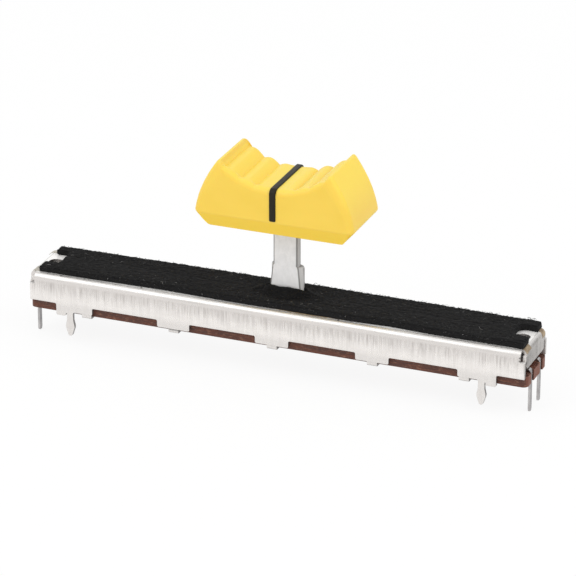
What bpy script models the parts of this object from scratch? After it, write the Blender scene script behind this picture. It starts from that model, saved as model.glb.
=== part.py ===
"""Slide potentiometer with 60 mm of travel, a folded steel cover, a lever and a finger knob.

Metres, +Z up. X is the direction of travel, Y runs across the body, and the origin is midway along the
body at the level of the terminal tips. Heights are counted from the seat, the plane of the standoff
lugs that rests on the circuit board, unless their name says otherwise.
"""

import math

import bmesh
import bpy
from mathutils import Vector

MM = 0.001

# Clearances
FIT_GAP = 0.03 * MM  # between pieces that touch or are pressed together
FILM_GAP = 0.02 * MM  # under printed films and what lies on them
RUNNING_GAP = 0.1 * MM  # between the carriage and what it runs on
SIDE_PLAY = 0.2 * MM  # between the carriage and the cover's walls

# Body
BODY_LENGTH = 75.2 * MM
BODY_WIDTH = 9.6 * MM
BODY_HEIGHT = 6.0 * MM  # seat to cover top
TRAVEL_END_MARGIN = 7.6 * MM  # from the end of the travel to the end of the body
SLIDER_OFFSET = 0.4 * MM  # how far right of mid travel the slider stands

# Cover, one folded sheet
SHEET = 0.5 * MM
LONG_BEND_RADIUS = 1.0 * MM  # outside, along the walls
END_BEND_RADIUS = 0.8 * MM  # outside, at the flaps
BEND_STEPS = 8
CORNER_RELIEF = 0.65 * MM  # how far the upper wall stops short of the body's end
CORNER_RELIEF_DEPTH = 1.75 * MM  # from the cover top
FLAP_WIDTH = 7.6 * MM
FLAP_DROP = 3.0 * MM  # from the cover top to the flap's lower edge
FLAP_CORNER_RADIUS = 0.4 * MM
EAR_WIDTH = 8.4 * MM  # over the flap's two ears
EAR_TOP_DEPTH = 0.95 * MM  # from the cover top
SLOT_WIDTH = 1.9 * MM
SLOT_END_CLEARANCE = 0.4 * MM
SLOT_END_STEPS = 6
FIXING_HOLE_RADIUS = 1.1 * MM
FIXING_HOLE_INSET = 1.95 * MM  # from the body's end to the hole's middle
HOLE_STEPS = 20

# Lower edge of the cover's walls
NOTCH_HEIGHT = 1.78 * MM
TAB_HEIGHT = 0.7 * MM
CENTRE_TAB_WIDTH = 5.06 * MM
MID_TAB_X = 15.14 * MM
MID_TAB_WIDTH = 4.98 * MM
NOTCH_RADIUS = 0.22 * MM
LEG_INSET = 6.25 * MM  # from the body's end to the leg's middle
END_TAB_REACH = 3.52 * MM  # from the leg's middle inwards
STANDOFF_GAP = 0.16 * MM  # between the leg's neck and the standoff lug
STANDOFF_WIDTH = 1.52 * MM
STANDOFF_ROOT_HEIGHT = 0.45 * MM
STANDOFF_ROOT_RADIUS = 0.07 * MM
LEG_NECK_WIDTH = 0.95 * MM
LEG_BELLY_WIDTH = 1.42 * MM
LEG_TIP_WIDTH = 0.5 * MM
LEG_NECK_REACH = 0.55 * MM  # below the seat
LEG_BELLY_REACH = 1.6 * MM
LEG_REACH = 3.0 * MM
LEG_CURVE_RADIUS = 1.1 * MM
FILLET_STEPS = 3

# Lugs crimped under the board
CRIMP_LEG_DISTANCE = 2.6 * MM  # from the leg's middle to the outermost lug's middle
CRIMP_WIDTH = 1.5 * MM
CRIMP_THICKNESS = 0.28 * MM
CRIMP_INSET = 0.08 * MM  # from the wall's outer face
CRIMP_OVERLAP = 0.65 * MM  # of the lug under the board
CRIMP_ROOT = 0.5 * MM  # rooted in the tab

# Board and printed films
BOARD_SIDE_CLEARANCE = 0.05 * MM
BOARD_THICKNESS = 1.6 * MM
BOARD_STANDOFF = 0.35 * MM  # seat to the board's underside
BOARD_END_PROUD = 0.25 * MM  # of the board's end beyond the cover's
BOARD_CORNER_RADIUS = 0.8 * MM
BOARD_CORNER_STEPS = 4
BOARD_NOTCH_DEPTH = 0.55 * MM
BOARD_NOTCH_CLEARANCE = 0.15 * MM  # each side of a terminal
FILM_THICKNESS = 0.04 * MM
TRACK_Y = 1.9 * MM  # resistive track in front, collector behind
TRACK_WIDTH = 1.8 * MM
COLLECTOR_WIDTH = 1.6 * MM
ELECTRODE_LENGTH = 2.4 * MM
ELECTRODE_WIDTH = 2.0 * MM
ELECTRODE_END_MARGIN = 0.97 * MM  # from the eyelet's middle to the film's outer end

# Terminals and their eyelets
TERMINAL_REACH = 4.1 * MM  # below the seat
TERMINAL_WIDTH = 0.8 * MM
TERMINAL_THICKNESS = 0.3 * MM
TERMINAL_TIP_WIDTH = 0.5 * MM
TERMINAL_TIP_LENGTH = 0.35 * MM
TERMINAL_PROUD = 0.1 * MM  # of the pin beyond the cover's end
TERMINAL_BEND_RADIUS = 0.35 * MM  # to the middle of the strip
TERMINAL_BEND_STEPS = 4
TONGUE_WIDTH = 1.5 * MM
TONGUE_LENGTH = 4.0 * MM  # from its inner end to the middle of the pin
TONGUE_NECK_LENGTH = 1.3 * MM
EYELET_INSET = 3.1 * MM  # from the board's end to the eyelet's middle
EYELET_RADIUS = 0.42 * MM
EYELET_BORE_RADIUS = 0.24 * MM
EYELET_HEAD_RADIUS = 0.72 * MM
EYELET_HEAD = 0.2 * MM
EYELET_STEPS = 16

# Felt dust strip
FELT_END_MARGIN = 0.9 * MM  # of bare cover beyond the strip's end
FELT_SIDE_MARGIN = 0.7 * MM  # from the strip's edge to the body's side
FELT_THICKNESS = 0.72 * MM
FELT_SLIT_WIDTH = 1.4 * MM
FELT_SLIT_END_CLEARANCE = 0.5 * MM
FELT_NOTCH_CLEARANCE = 0.1 * MM  # between the notch's end and the fixing hole
FELT_NOTCH_SIDE_CLEARANCE = 0.8 * MM  # between the notch's sides and the fixing hole
FELT_NOTCH_Y = 0.4 * MM
FELT_NOTCH_RADIUS = 1.0 * MM
FELT_NOTCH_STEPS = 4
ADHESIVE_THICKNESS = 0.08 * MM
ADHESIVE_MARGIN = 0.1 * MM  # proud of the felt all round
ADHESIVE_SLIT_WIDTH = 3.0 * MM

# Lever, a folded channel open to the back, whose flanges splay below the shoulder
LEVER_HEIGHT = 15.0 * MM  # from the cover top
LEVER_DEPTH = 1.2 * MM
LEVER_SHEET = 0.35 * MM
LEVER_BASE_WIDTH = 5.0 * MM
LEVER_TOP_WIDTH = 3.76 * MM
LEVER_SHOULDER_HEIGHT = 5.4 * MM  # from the cover top
LEVER_SHOULDER_ROUND = 0.5 * MM
LEVER_SHOULDER_STEPS = 4
LEVER_INNER_RADIUS = 0.05 * MM
LEVER_TIP_CHAMFER = 0.3 * MM

# Carriage, an inverted channel on two runners
CARRIAGE_LENGTH = 12.4 * MM
CARRIAGE_BLOCK_HEIGHT = 2.3 * MM
CARRIAGE_TOP_CHAMFER = 0.45 * MM
RUNNER_WIDTH = 0.7 * MM
CARRIAGE_END_CHAMFER = 0.5 * MM
LEVER_SOCKET_DEPTH = 1.7 * MM
STAKE_RADIUS = 0.4 * MM
STAKE_HEAD = 0.14 * MM  # of the stake below the wiper's plate
STAKE_Y = 1.5 * MM
STAKE_STEPS = 12

# Wiper, one sprung stamping under the carriage
WIPER_SHEET = 0.14 * MM
WIPER_PLATE_LENGTH = 2.2 * MM
WIPER_PLATE_WIDTH = 5.6 * MM
WIPER_PLATE_X = -1.9 * MM  # the plate's middle, from the lever's middle
FINGERS_PER_TRACK = 3
FINGER_WIDTH = 0.36 * MM
FINGER_PITCH = 0.52 * MM
FINGER_LENGTH = 3.3 * MM
FINGER_TOE = 0.5 * MM  # of the upturned end beyond the contact point
FINGER_TOE_LIFT = 0.25 * MM
FINGER_ROOT = 0.3 * MM  # rooted in the plate
FINGER_STEPS = 5

# Friction spring, a bowed leaf against the back wall
SPRING_LENGTH = 8.6 * MM
SPRING_HEIGHT = 1.1 * MM
SPRING_THICKNESS = 0.15 * MM
SPRING_BOW = 0.5 * MM
SPRING_STEPS = 12
SPRING_POCKET_CLEARANCE = 0.15 * MM

# Knob
KNOB_BOTTOM = 11.55 * MM  # from the cover top
KNOB_BASE_LENGTH = 20.1 * MM
KNOB_BASE_WIDTH = 8.6 * MM
KNOB_WAIST_LENGTH = 24.0 * MM
KNOB_WAIST_WIDTH = 10.7 * MM
KNOB_WAIST_HEIGHT = 2.2 * MM  # from the knob's base, as are the next two
KNOB_PEAK_HEIGHT = 10.15 * MM
KNOB_VALLEY_HEIGHT = 7.0 * MM
KNOB_PEAK_LENGTH = 16.9 * MM  # between the two peaks
KNOB_END_BULGE = 0.6 * MM
KNOB_END_STEPS = 5
KNOB_PEAK_RADIUS = 0.42 * MM
KNOB_WAIST_RADIUS = 0.5 * MM
KNOB_EDGE_RADIUS = 0.7 * MM
KNOB_EDGE_STEPS = 3
KNOB_FADE_LENGTH = 0.9 * MM  # over which the grooves run out before the front edge
GROOVE_DEPTH = 0.45 * MM
GROOVE_PITCH = 2.35 * MM
FIRST_GROOVE_X = 2.95 * MM
TOP_STEP = 0.39 * MM  # between points along the knob's top
KNOB_BOSS_LENGTH = 6.4 * MM
KNOB_BOSS_WIDTH = 3.8 * MM
KNOB_WALL = 1.15 * MM
KNOB_RIB = 0.8 * MM
KNOB_POCKET_DEPTH = 4.6 * MM
KNOB_SOCKET_CLEARANCE = 0.3 * MM  # above the lever's tip

# Indicator line let into the knob
LINE_WIDTH = 0.95 * MM
LINE_PROUD = 0.15 * MM
LINE_SUNK = 0.25 * MM
LINE_END_HEIGHT = 2.35 * MM  # from the knob's base
LINE_STEPS = 4

# Levels worked out from the sizes above, as world heights
SEAT_Z = TERMINAL_REACH
TOP_Z = SEAT_Z + BODY_HEIGHT
CEILING_Z = TOP_Z - SHEET
BOARD_BOTTOM_Z = SEAT_Z + BOARD_STANDOFF
BOARD_TOP_Z = BOARD_BOTTOM_Z + BOARD_THICKNESS
FILM_Z = BOARD_TOP_Z + FILM_GAP
FILM_TOP_Z = FILM_Z + FILM_THICKNESS
TONGUE_Z = FILM_TOP_Z + FILM_GAP + TERMINAL_THICKNESS / 2
ADHESIVE_Z = TOP_Z + FILM_GAP
FELT_Z = ADHESIVE_Z + ADHESIVE_THICKNESS + FILM_GAP
CARRIAGE_TOP_Z = CEILING_Z - RUNNING_GAP
CARRIAGE_BLOCK_Z = CARRIAGE_TOP_Z - CARRIAGE_BLOCK_HEIGHT
LEVER_FOOT_Z = CARRIAGE_TOP_Z - LEVER_SOCKET_DEPTH + FIT_GAP
LEVER_TIP_Z = TOP_Z + LEVER_HEIGHT
KNOB_Z = TOP_Z + KNOB_BOTTOM
LINE_END_Z = KNOB_Z + LINE_END_HEIGHT

# Plan sizes worked out from the sizes above
HALF_LENGTH = BODY_LENGTH / 2
HALF_WIDTH = BODY_WIDTH / 2
INNER_HALF_WIDTH = HALF_WIDTH - SHEET
TRAVEL = BODY_LENGTH - 2 * TRAVEL_END_MARGIN
SLOT_HALF_LENGTH = TRAVEL / 2 + LEVER_BASE_WIDTH / 2 + SLOT_END_CLEARANCE
FIXING_HOLE_X = HALF_LENGTH - FIXING_HOLE_INSET
LEG_X = HALF_LENGTH - LEG_INSET
STANDOFF_INNER_X = LEG_X + LEG_NECK_WIDTH / 2 + STANDOFF_GAP
CRIMP_XS = (0.0, MID_TAB_X, LEG_X - CRIMP_LEG_DISTANCE)
BOARD_HALF_LENGTH = HALF_LENGTH + BOARD_END_PROUD
BOARD_HALF_WIDTH = INNER_HALF_WIDTH - BOARD_SIDE_CLEARANCE
PIN_X = HALF_LENGTH + TERMINAL_PROUD - TERMINAL_THICKNESS / 2
EYELET_X = BOARD_HALF_LENGTH - EYELET_INSET
FILM_END_X = EYELET_X + ELECTRODE_END_MARGIN
FELT_HALF_LENGTH = HALF_LENGTH - FELT_END_MARGIN
FELT_HALF_WIDTH = HALF_WIDTH - FELT_SIDE_MARGIN
CARRIAGE_HALF_WIDTH = INNER_HALF_WIDTH - SIDE_PLAY
OVERCUT = 1.0 * MM  # how far a cutter runs past the face it cuts


def clear_scene():
    for obj in list(bpy.data.objects):
        bpy.data.objects.remove(obj, do_unlink=True)


def material(name, color, roughness, metallic=0.0):
    mat = bpy.data.materials.new(name)
    mat.use_nodes = True
    shader = mat.node_tree.nodes["Principled BSDF"]
    shader.inputs["Base Color"].default_value = (*color, 1.0)
    shader.inputs["Roughness"].default_value = roughness
    shader.inputs["Metallic"].default_value = metallic
    mat.diffuse_color = (*color, 1.0)
    return mat


# Outlines

def arc(centre, radius, start, end, steps):
    """Points from angle start to angle end, in degrees, on a circle round centre."""
    points = []
    for i in range(steps + 1):
        angle = math.radians(start + (end - start) * i / steps)
        points.append((centre[0] + radius * math.cos(angle), centre[1] + radius * math.sin(angle)))
    return points


def rounded(corners, steps=FILLET_STEPS):
    """A closed outline from corners (x, y, fillet radius), each filleted by an arc that fits its sides."""
    points = []
    count = len(corners)
    for i, (x, y, radius) in enumerate(corners):
        here = Vector((x, y))
        before = Vector(corners[i - 1][:2]) - here
        after = Vector(corners[(i + 1) % count][:2]) - here
        if radius <= 0:
            points.append((x, y))
            continue
        half = before.angle(after) / 2
        reach = min(radius / math.tan(half), before.length * 0.49, after.length * 0.49)
        radius = reach * math.tan(half)
        centre = here + (before.normalized() + after.normalized()).normalized() * radius / math.sin(half)
        first = here + before.normalized() * reach - centre
        last = here + after.normalized() * reach - centre
        turn = first.angle_signed(last)
        for k in range(steps + 1):
            angle = -turn * k / steps
            spoke = Vector((first.x * math.cos(angle) - first.y * math.sin(angle),
                            first.x * math.sin(angle) + first.y * math.cos(angle)))
            points.append(tuple(centre + spoke))
    return points


def rectangle(half_x, half_y, x=0.0, y=0.0):
    low, high = y - half_y, y + half_y
    return [(x - half_x, low), (x + half_x, low), (x + half_x, high), (x - half_x, high)]


# Solids

def oriented(point, axis, along):
    """A 2-D point of an outline, placed in space at a distance along the axis that it is swept on."""
    a, b = point
    return {"X": (along, a, b), "Y": (a, along, b), "Z": (a, b, along)}[axis]


def loft(bm, rings):
    """A closed solid through rings of points that all have the same number of points."""
    loops = [[bm.verts.new(p) for p in ring] for ring in rings]
    for lower, upper in zip(loops, loops[1:]):
        for i in range(len(lower)):
            j = (i + 1) % len(lower)
            bm.faces.new((lower[i], lower[j], upper[j], upper[i]))
    bm.faces.new(loops[0][::-1])
    bm.faces.new(loops[-1])


def prism(bm, outline, axis, low, high):
    """An outline swept straight along an axis. An outline is in (Y, Z), (X, Z) or (X, Y)."""
    loft(bm, [[oriented(p, axis, along) for p in outline] for along in (low, high)])


def strip(bm, path, widths, thickness, y=0.0):
    """A bent strip of sheet: its middle line runs through path in X and Z, and its width lies along Y."""
    rings = []
    for i, point in enumerate(path):
        here = Vector(point)
        ahead = Vector(path[min(i + 1, len(path) - 1)]) - here
        behind = here - Vector(path[max(i - 1, 0)])
        side = (ahead.normalized() + behind.normalized()).normalized()
        off = Vector((-side.y, side.x)) * thickness / 2
        low, high = here - off, here + off
        half = widths[i] / 2
        rings.append([(low.x, y - half, low.y), (low.x, y + half, low.y),
                      (high.x, y + half, high.y), (high.x, y - half, high.y)])
    loft(bm, rings)


def box(bm, low, high):
    prism(bm, rectangle((high[0] - low[0]) / 2, (high[1] - low[1]) / 2,
                        (high[0] + low[0]) / 2, (high[1] + low[1]) / 2), "Z", low[2], high[2])


def cylinder(bm, x, y, low, high, radius, steps):
    circle = arc((x, y), radius, 0, 360, steps)[:-1]
    prism(bm, circle, "Z", low, high)


def solid(name, bm, mat=None, parent=None, smooth=35):
    """Makes an object of a bmesh, with its faces outwards and its curves shaded smooth."""
    bmesh.ops.remove_doubles(bm, verts=bm.verts, dist=1e-7)
    bmesh.ops.recalc_face_normals(bm, faces=bm.faces)
    if parent is not None:
        bmesh.ops.translate(bm, verts=bm.verts, vec=-parent.location)
    mesh = bpy.data.meshes.new(name)
    bm.to_mesh(mesh)
    bm.free()
    mesh.shade_smooth()
    mesh.set_sharp_from_angle(angle=math.radians(smooth))
    obj = bpy.data.objects.new(name, mesh)
    bpy.context.scene.collection.objects.link(obj)
    obj.parent = parent
    if mat is not None:
        obj.data.materials.append(mat)
    return obj


def combine(obj, name, bm, operation="DIFFERENCE"):
    """Cuts or joins a helper solid, which stays in the file as a wire that doesn't render."""
    add_helper(obj, solid(f"{obj.name}_{name}", bm, parent=obj.parent), name, operation)


def add_helper(obj, helper, name, operation):
    helper.hide_render = True
    helper.display_type = "WIRE"
    modifier = obj.modifiers.new(name, "BOOLEAN")
    modifier.operation = operation
    modifier.object = helper


# Cover

def wall_lower_edge():
    """Half of the walls' lower edge, from the middle out, as filleted corners (x, height, radius)."""
    tab_z, notch_z = SEAT_Z + TAB_HEIGHT, SEAT_Z + NOTCH_HEIGHT
    r = NOTCH_RADIUS
    edge = [(CENTRE_TAB_WIDTH / 2, tab_z, r), (CENTRE_TAB_WIDTH / 2, notch_z, r)]
    mid_in, mid_out = MID_TAB_X - MID_TAB_WIDTH / 2, MID_TAB_X + MID_TAB_WIDTH / 2
    edge += [(mid_in, notch_z, r), (mid_in, tab_z, r), (mid_out, tab_z, r), (mid_out, notch_z, r)]
    end_in, end_out = LEG_X - END_TAB_REACH, STANDOFF_INNER_X + STANDOFF_WIDTH
    edge += [(end_in, notch_z, r), (end_in, tab_z, r)]
    neck, belly, tip = LEG_NECK_WIDTH / 2, LEG_BELLY_WIDTH / 2, LEG_TIP_WIDTH / 2
    bend = LEG_CURVE_RADIUS
    edge += [(LEG_X - neck, tab_z, r), (LEG_X - neck, SEAT_Z - LEG_NECK_REACH, bend)]
    edge += [(LEG_X - belly, SEAT_Z - LEG_BELLY_REACH, bend), (LEG_X - tip, SEAT_Z - LEG_REACH, r)]
    edge += [(LEG_X + tip, SEAT_Z - LEG_REACH, r), (LEG_X + belly, SEAT_Z - LEG_BELLY_REACH, bend)]
    root_z = SEAT_Z + STANDOFF_ROOT_HEIGHT
    edge += [(LEG_X + neck, SEAT_Z - LEG_NECK_REACH, bend), (LEG_X + neck, root_z, STANDOFF_ROOT_RADIUS)]
    edge += [(STANDOFF_INNER_X, root_z, STANDOFF_ROOT_RADIUS), (STANDOFF_INNER_X, SEAT_Z, r)]
    edge += [(end_out, SEAT_Z, r), (end_out, notch_z, r)]
    return edge


def shell_section(half_width, top, radius, low):
    """The outline of a long form with its two upper edges rounded, in (Y, Z) or (X, Z)."""
    right = arc((half_width - radius, top - radius), radius, 0, 90, BEND_STEPS)
    left = arc((radius - half_width, top - radius), radius, 90, 180, BEND_STEPS)
    return [(half_width, low)] + right + left + [(-half_width, low)]


def folded_form(name, inset, low, mat=None):
    """The body's form drawn in by inset, with the walls' long bends and the flaps' bends at the ends."""
    half_length, half_width, top = HALF_LENGTH - inset, HALF_WIDTH - inset, TOP_Z - inset
    bm = bmesh.new()
    prism(bm, shell_section(half_width, top, LONG_BEND_RADIUS - inset, low), "X", -half_length, half_length)
    form = solid(name, bm, mat)
    bm = bmesh.new()
    prism(bm, shell_section(half_length, top, END_BEND_RADIUS - inset, low), "Y", -HALF_WIDTH, HALF_WIDTH)
    combine(form, "end_bends", bm, "INTERSECT")
    return form


def cut_lower_edge(cover):
    """Notches, tabs, legs and standoffs of both walls in one cut straight through."""
    half = wall_lower_edge()
    end_x = HALF_LENGTH + OVERCUT
    corners = half + [(end_x, SEAT_Z + NOTCH_HEIGHT, 0), (end_x, SEAT_Z - LEG_REACH - OVERCUT, 0)]
    corners += [(-x, z, r) for x, z, r in reversed(corners)]
    bm = bmesh.new()
    prism(bm, rounded(corners), "Y", -HALF_WIDTH - OVERCUT, HALF_WIDTH + OVERCUT)
    combine(cover, "lower_edge", bm)


def ear_relief(hand):
    """What is cut away beside the flap's ear, from above down to the wall's own end, in (Y, Z)."""
    half_flap, half_ear, beside = FLAP_WIDTH / 2, EAR_WIDTH / 2, HALF_WIDTH + OVERCUT
    relief_z, ear_z, above = TOP_Z - CORNER_RELIEF_DEPTH, TOP_Z - EAR_TOP_DEPTH, TOP_Z + OVERCUT
    corners = ((half_flap, above), (beside, above), (beside, relief_z), (half_ear, relief_z),
               (half_ear, ear_z), (half_flap, ear_z))
    return [(hand * y, z) for y, z in corners]


def flap_skirt():
    """What is cut away round the flap's lower edge, in (Y, Z)."""
    half_flap, half_ear, r = FLAP_WIDTH / 2, EAR_WIDTH / 2, FLAP_CORNER_RADIUS
    relief_z, flap_z, below = TOP_Z - CORNER_RELIEF_DEPTH, TOP_Z - FLAP_DROP, SEAT_Z - LEG_REACH - OVERCUT
    front = [(-INNER_HALF_WIDTH, below, 0), (-INNER_HALF_WIDTH, relief_z - FIT_GAP, 0),
             (-half_ear, relief_z, 0), (-half_flap, relief_z, 0), (-half_flap, flap_z, r)]
    return rounded(front + [(-y, z, radius) for y, z, radius in reversed(front)])


def cut_ends(cover):
    """Frees the end flaps from the walls and gives them their ears and lower edge."""
    bm = bmesh.new()
    outer = HALF_LENGTH + OVERCUT
    for side in (-1, 1):
        for hand in (-1, 1):
            prism(bm, ear_relief(hand), "X", *sorted((side * (HALF_LENGTH - CORNER_RELIEF), side * outer)))
        inner = HALF_LENGTH - SHEET - RUNNING_GAP
        prism(bm, flap_skirt(), "X", *sorted((side * inner, side * outer)))
    combine(cover, "end_reliefs", bm)


def cut_openings(cover):
    """The lever's slot and the two fixing holes."""
    bm = bmesh.new()
    low, high = CEILING_Z - OVERCUT, TOP_Z + OVERCUT
    corners = [(x, y, SLOT_WIDTH / 2) for x, y in rectangle(SLOT_HALF_LENGTH, SLOT_WIDTH / 2)]
    slot = rounded(corners, SLOT_END_STEPS)
    prism(bm, slot, "Z", low, high)
    for side in (-1, 1):
        cylinder(bm, side * FIXING_HOLE_X, 0, low, high, FIXING_HOLE_RADIUS, HOLE_STEPS)
    combine(cover, "slot_and_holes", bm)


def add_crimps(cover):
    """Lugs of the tabs, bent under the board."""
    outer = HALF_WIDTH - CRIMP_INSET
    inner = outer - CRIMP_THICKNESS
    top = BOARD_BOTTOM_Z - FIT_GAP
    low = top - CRIMP_THICKNESS
    tip = BOARD_HALF_WIDTH - CRIMP_OVERLAP
    root = SEAT_Z + TAB_HEIGHT + CRIMP_ROOT
    bm = bmesh.new()
    for x in sorted({side * x for x in CRIMP_XS for side in (-1, 1)}):
        for hand in (-1, 1):
            corners = [(outer, root, 0), (outer, low, CRIMP_THICKNESS), (tip, low, 0), (tip, top, 0),
                       (inner, top, 0), (inner, root, 0)]
            outline = rounded([(hand * y, z, r) for y, z, r in corners])
            prism(bm, outline, "X", x - CRIMP_WIDTH / 2, x + CRIMP_WIDTH / 2)
    combine(cover, "crimps", bm, "UNION")


def make_cover(mat):
    """One sheet of even thickness folded down on all four sides."""
    cover = folded_form("cover", 0.0, SEAT_Z - LEG_REACH, mat)
    inside = folded_form("cover_inside", SHEET, SEAT_Z - LEG_REACH - OVERCUT)
    add_helper(cover, inside, "inside", "DIFFERENCE")
    cut_lower_edge(cover)
    cut_ends(cover)
    cut_openings(cover)
    add_crimps(cover)


# Felt strip and its adhesive

def strip_outline(margin):
    """A strip with a rounded notch round the fixing hole in each end, grown by margin, in (X, Y)."""
    half_length, half_width = FELT_HALF_LENGTH + margin, FELT_HALF_WIDTH + margin
    notch_x = FIXING_HOLE_X - FIXING_HOLE_RADIUS - FELT_NOTCH_CLEARANCE + margin
    notch_half = FIXING_HOLE_RADIUS + FELT_NOTCH_SIDE_CLEARANCE - margin
    low, high = FELT_NOTCH_Y - notch_half, FELT_NOTCH_Y + notch_half
    radius = FELT_NOTCH_RADIUS
    right = [(half_length, -half_width, 0), (half_length, low, 0), (notch_x, low, radius),
             (notch_x, high, radius), (half_length, high, 0), (half_length, half_width, 0)]
    left = [(-x, y, r) for x, y, r in reversed(right)]
    return rounded(left[-1:] + right + left[:-1], FELT_NOTCH_STEPS)


def make_strip(name, mat, margin, z, thickness, slit_width):
    bm = bmesh.new()
    prism(bm, strip_outline(margin), "Z", z, z + thickness)
    layer = solid(name, bm, mat)
    slit_half = SLOT_HALF_LENGTH + FELT_SLIT_END_CLEARANCE
    bm = bmesh.new()
    prism(bm, rectangle(slit_half, slit_width / 2), "Z", z - OVERCUT, z + thickness + OVERCUT)
    combine(layer, "slit", bm)


# Board, films, terminals and eyelets

def terminal_places():
    """Each terminal's name, end of the body (-1 left, 1 right) and Y. The left end has one terminal."""
    return (("1", -1, -TRACK_Y), ("2", 1, TRACK_Y), ("3", 1, -TRACK_Y))


def eyelet_cutter(bm, x, y, low, high):
    """A round hole that an eyelet goes through with a little room."""
    cylinder(bm, x, y, low, high, EYELET_RADIUS + FIT_GAP, EYELET_STEPS)


def make_board(mat):
    bm = bmesh.new()
    corners = [(x, y, BOARD_CORNER_RADIUS) for x, y in rectangle(BOARD_HALF_LENGTH, BOARD_HALF_WIDTH)]
    prism(bm, rounded(corners, BOARD_CORNER_STEPS), "Z", BOARD_BOTTOM_Z, BOARD_TOP_Z)
    board = solid("resistor_board", bm, mat)
    bm = bmesh.new()
    low, high = BOARD_BOTTOM_Z - OVERCUT, BOARD_TOP_Z + OVERCUT
    half = TERMINAL_WIDTH / 2 + BOARD_NOTCH_CLEARANCE
    for _, side, y in terminal_places():
        ends = sorted((side * (BOARD_HALF_LENGTH - BOARD_NOTCH_DEPTH), side * (BOARD_HALF_LENGTH + OVERCUT)))
        box(bm, (ends[0], y - half, low), (ends[1], y + half, high))
        eyelet_cutter(bm, side * EYELET_X, y, low, high)
    combine(board, "terminal_cuts", bm)


def make_film(name, mat, x_low, x_high, y, width, eyelet_xs=()):
    """A printed film on the board, pierced where an eyelet goes through it."""
    bm = bmesh.new()
    box(bm, (x_low, y - width / 2, FILM_Z), (x_high, y + width / 2, FILM_TOP_Z))
    film = solid(name, bm, mat)
    if eyelet_xs:
        bm = bmesh.new()
        for x in eyelet_xs:
            eyelet_cutter(bm, x, y, FILM_Z - FILM_GAP, FILM_TOP_Z + FILM_GAP)
        combine(film, "eyelet_holes", bm)


def make_films(carbon, silver):
    """The resistive track between its two electrodes, and the collector behind it."""
    start = FILM_END_X - ELECTRODE_LENGTH
    half = start - FILM_GAP
    make_film("resistive_track", carbon, -half, half, -TRACK_Y, TRACK_WIDTH)
    for name, side in (("left", -1), ("right", 1)):
        ends = sorted((side * start, side * FILM_END_X))
        make_film(f"track_electrode_{name}", silver, *ends, -TRACK_Y, ELECTRODE_WIDTH, (side * EYELET_X,))
    make_film("collector_track", silver, -FILM_END_X, FILM_END_X, TRACK_Y, COLLECTOR_WIDTH, (EYELET_X,))


def make_terminal(name, mat, side, y):
    """A tongue on the board, a neck, and a pin bent down over the board's end."""
    start = PIN_X - TONGUE_LENGTH
    neck = PIN_X - TONGUE_NECK_LENGTH
    r = TERMINAL_BEND_RADIUS
    path = [(start, TONGUE_Z), (neck - TONGUE_WIDTH / 4, TONGUE_Z), (neck, TONGUE_Z)]
    path += arc((PIN_X - r, TONGUE_Z - r), r, 90, 0, TERMINAL_BEND_STEPS)
    path += [(PIN_X, TERMINAL_TIP_LENGTH), (PIN_X, 0.0)]
    widths = [TONGUE_WIDTH, TONGUE_WIDTH] + [TERMINAL_WIDTH] * (len(path) - 3) + [TERMINAL_TIP_WIDTH]
    bm = bmesh.new()
    strip(bm, [(side * x, z) for x, z in path], widths, TERMINAL_THICKNESS, y)
    terminal = solid(f"terminal_{name}", bm, mat)
    bm = bmesh.new()
    eyelet_cutter(bm, side * EYELET_X, y, TONGUE_Z - OVERCUT, TONGUE_Z + OVERCUT)
    combine(terminal, "eyelet_hole", bm)


def make_eyelet(name, mat, side, y):
    """A turned eyelet, flared over the tongue and under the board."""
    top = TONGUE_Z + TERMINAL_THICKNESS / 2 + FILM_GAP
    low = BOARD_BOTTOM_Z - FILM_GAP
    flare = EYELET_HEAD / 2
    profile = [(EYELET_BORE_RADIUS, low - EYELET_HEAD), (EYELET_HEAD_RADIUS - flare, low - EYELET_HEAD),
               (EYELET_HEAD_RADIUS, low - flare), (EYELET_HEAD_RADIUS, low), (EYELET_RADIUS, low),
               (EYELET_RADIUS, top), (EYELET_HEAD_RADIUS, top), (EYELET_HEAD_RADIUS, top + flare),
               (EYELET_HEAD_RADIUS - flare, top + EYELET_HEAD), (EYELET_BORE_RADIUS, top + EYELET_HEAD)]
    centre = Vector((side * EYELET_X, y, 0))
    bm = bmesh.new()
    verts = [bm.verts.new(centre + Vector((radius, 0, z))) for radius, z in profile]
    edges = [bm.edges.new((verts[i - 1], verts[i])) for i in range(len(verts))]
    bmesh.ops.spin(bm, geom=verts + edges, cent=centre, axis=(0, 0, 1), angle=2 * math.pi,
                   steps=EYELET_STEPS, use_merge=True)
    solid(f"terminal_rivet_{name}", bm, mat)


# Slider

def make_slider_origin():
    """The slider's own origin, on the line that it slides along."""
    empty = bpy.data.objects.new("slider_origin", None)
    empty.location = (SLIDER_OFFSET, 0, CARRIAGE_TOP_Z)
    empty.empty_display_size = 2 * MM
    bpy.context.scene.collection.objects.link(empty)
    return empty


def lever_ring(web_half, back_half, z):
    """The lever's channel section at one height: a web in front and flanges that may splay to the back."""
    front, back = -LEVER_DEPTH / 2, LEVER_DEPTH / 2
    inner, outer = LEVER_INNER_RADIUS, LEVER_INNER_RADIUS + LEVER_SHEET
    splay = (back_half - web_half) / LEVER_DEPTH
    wall = LEVER_SHEET * math.hypot(1, splay)
    side, edge, face = web_half + splay * LEVER_SHEET - wall, back_half - wall, front + LEVER_SHEET
    corners = [(-back_half, back, 0), (-web_half, front, outer), (web_half, front, outer),
               (back_half, back, 0), (edge, back, 0), (side, face, inner), (-side, face, inner),
               (-edge, back, 0)]
    return [(SLIDER_OFFSET + x, y, z) for x, y in rounded(corners)]


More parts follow.
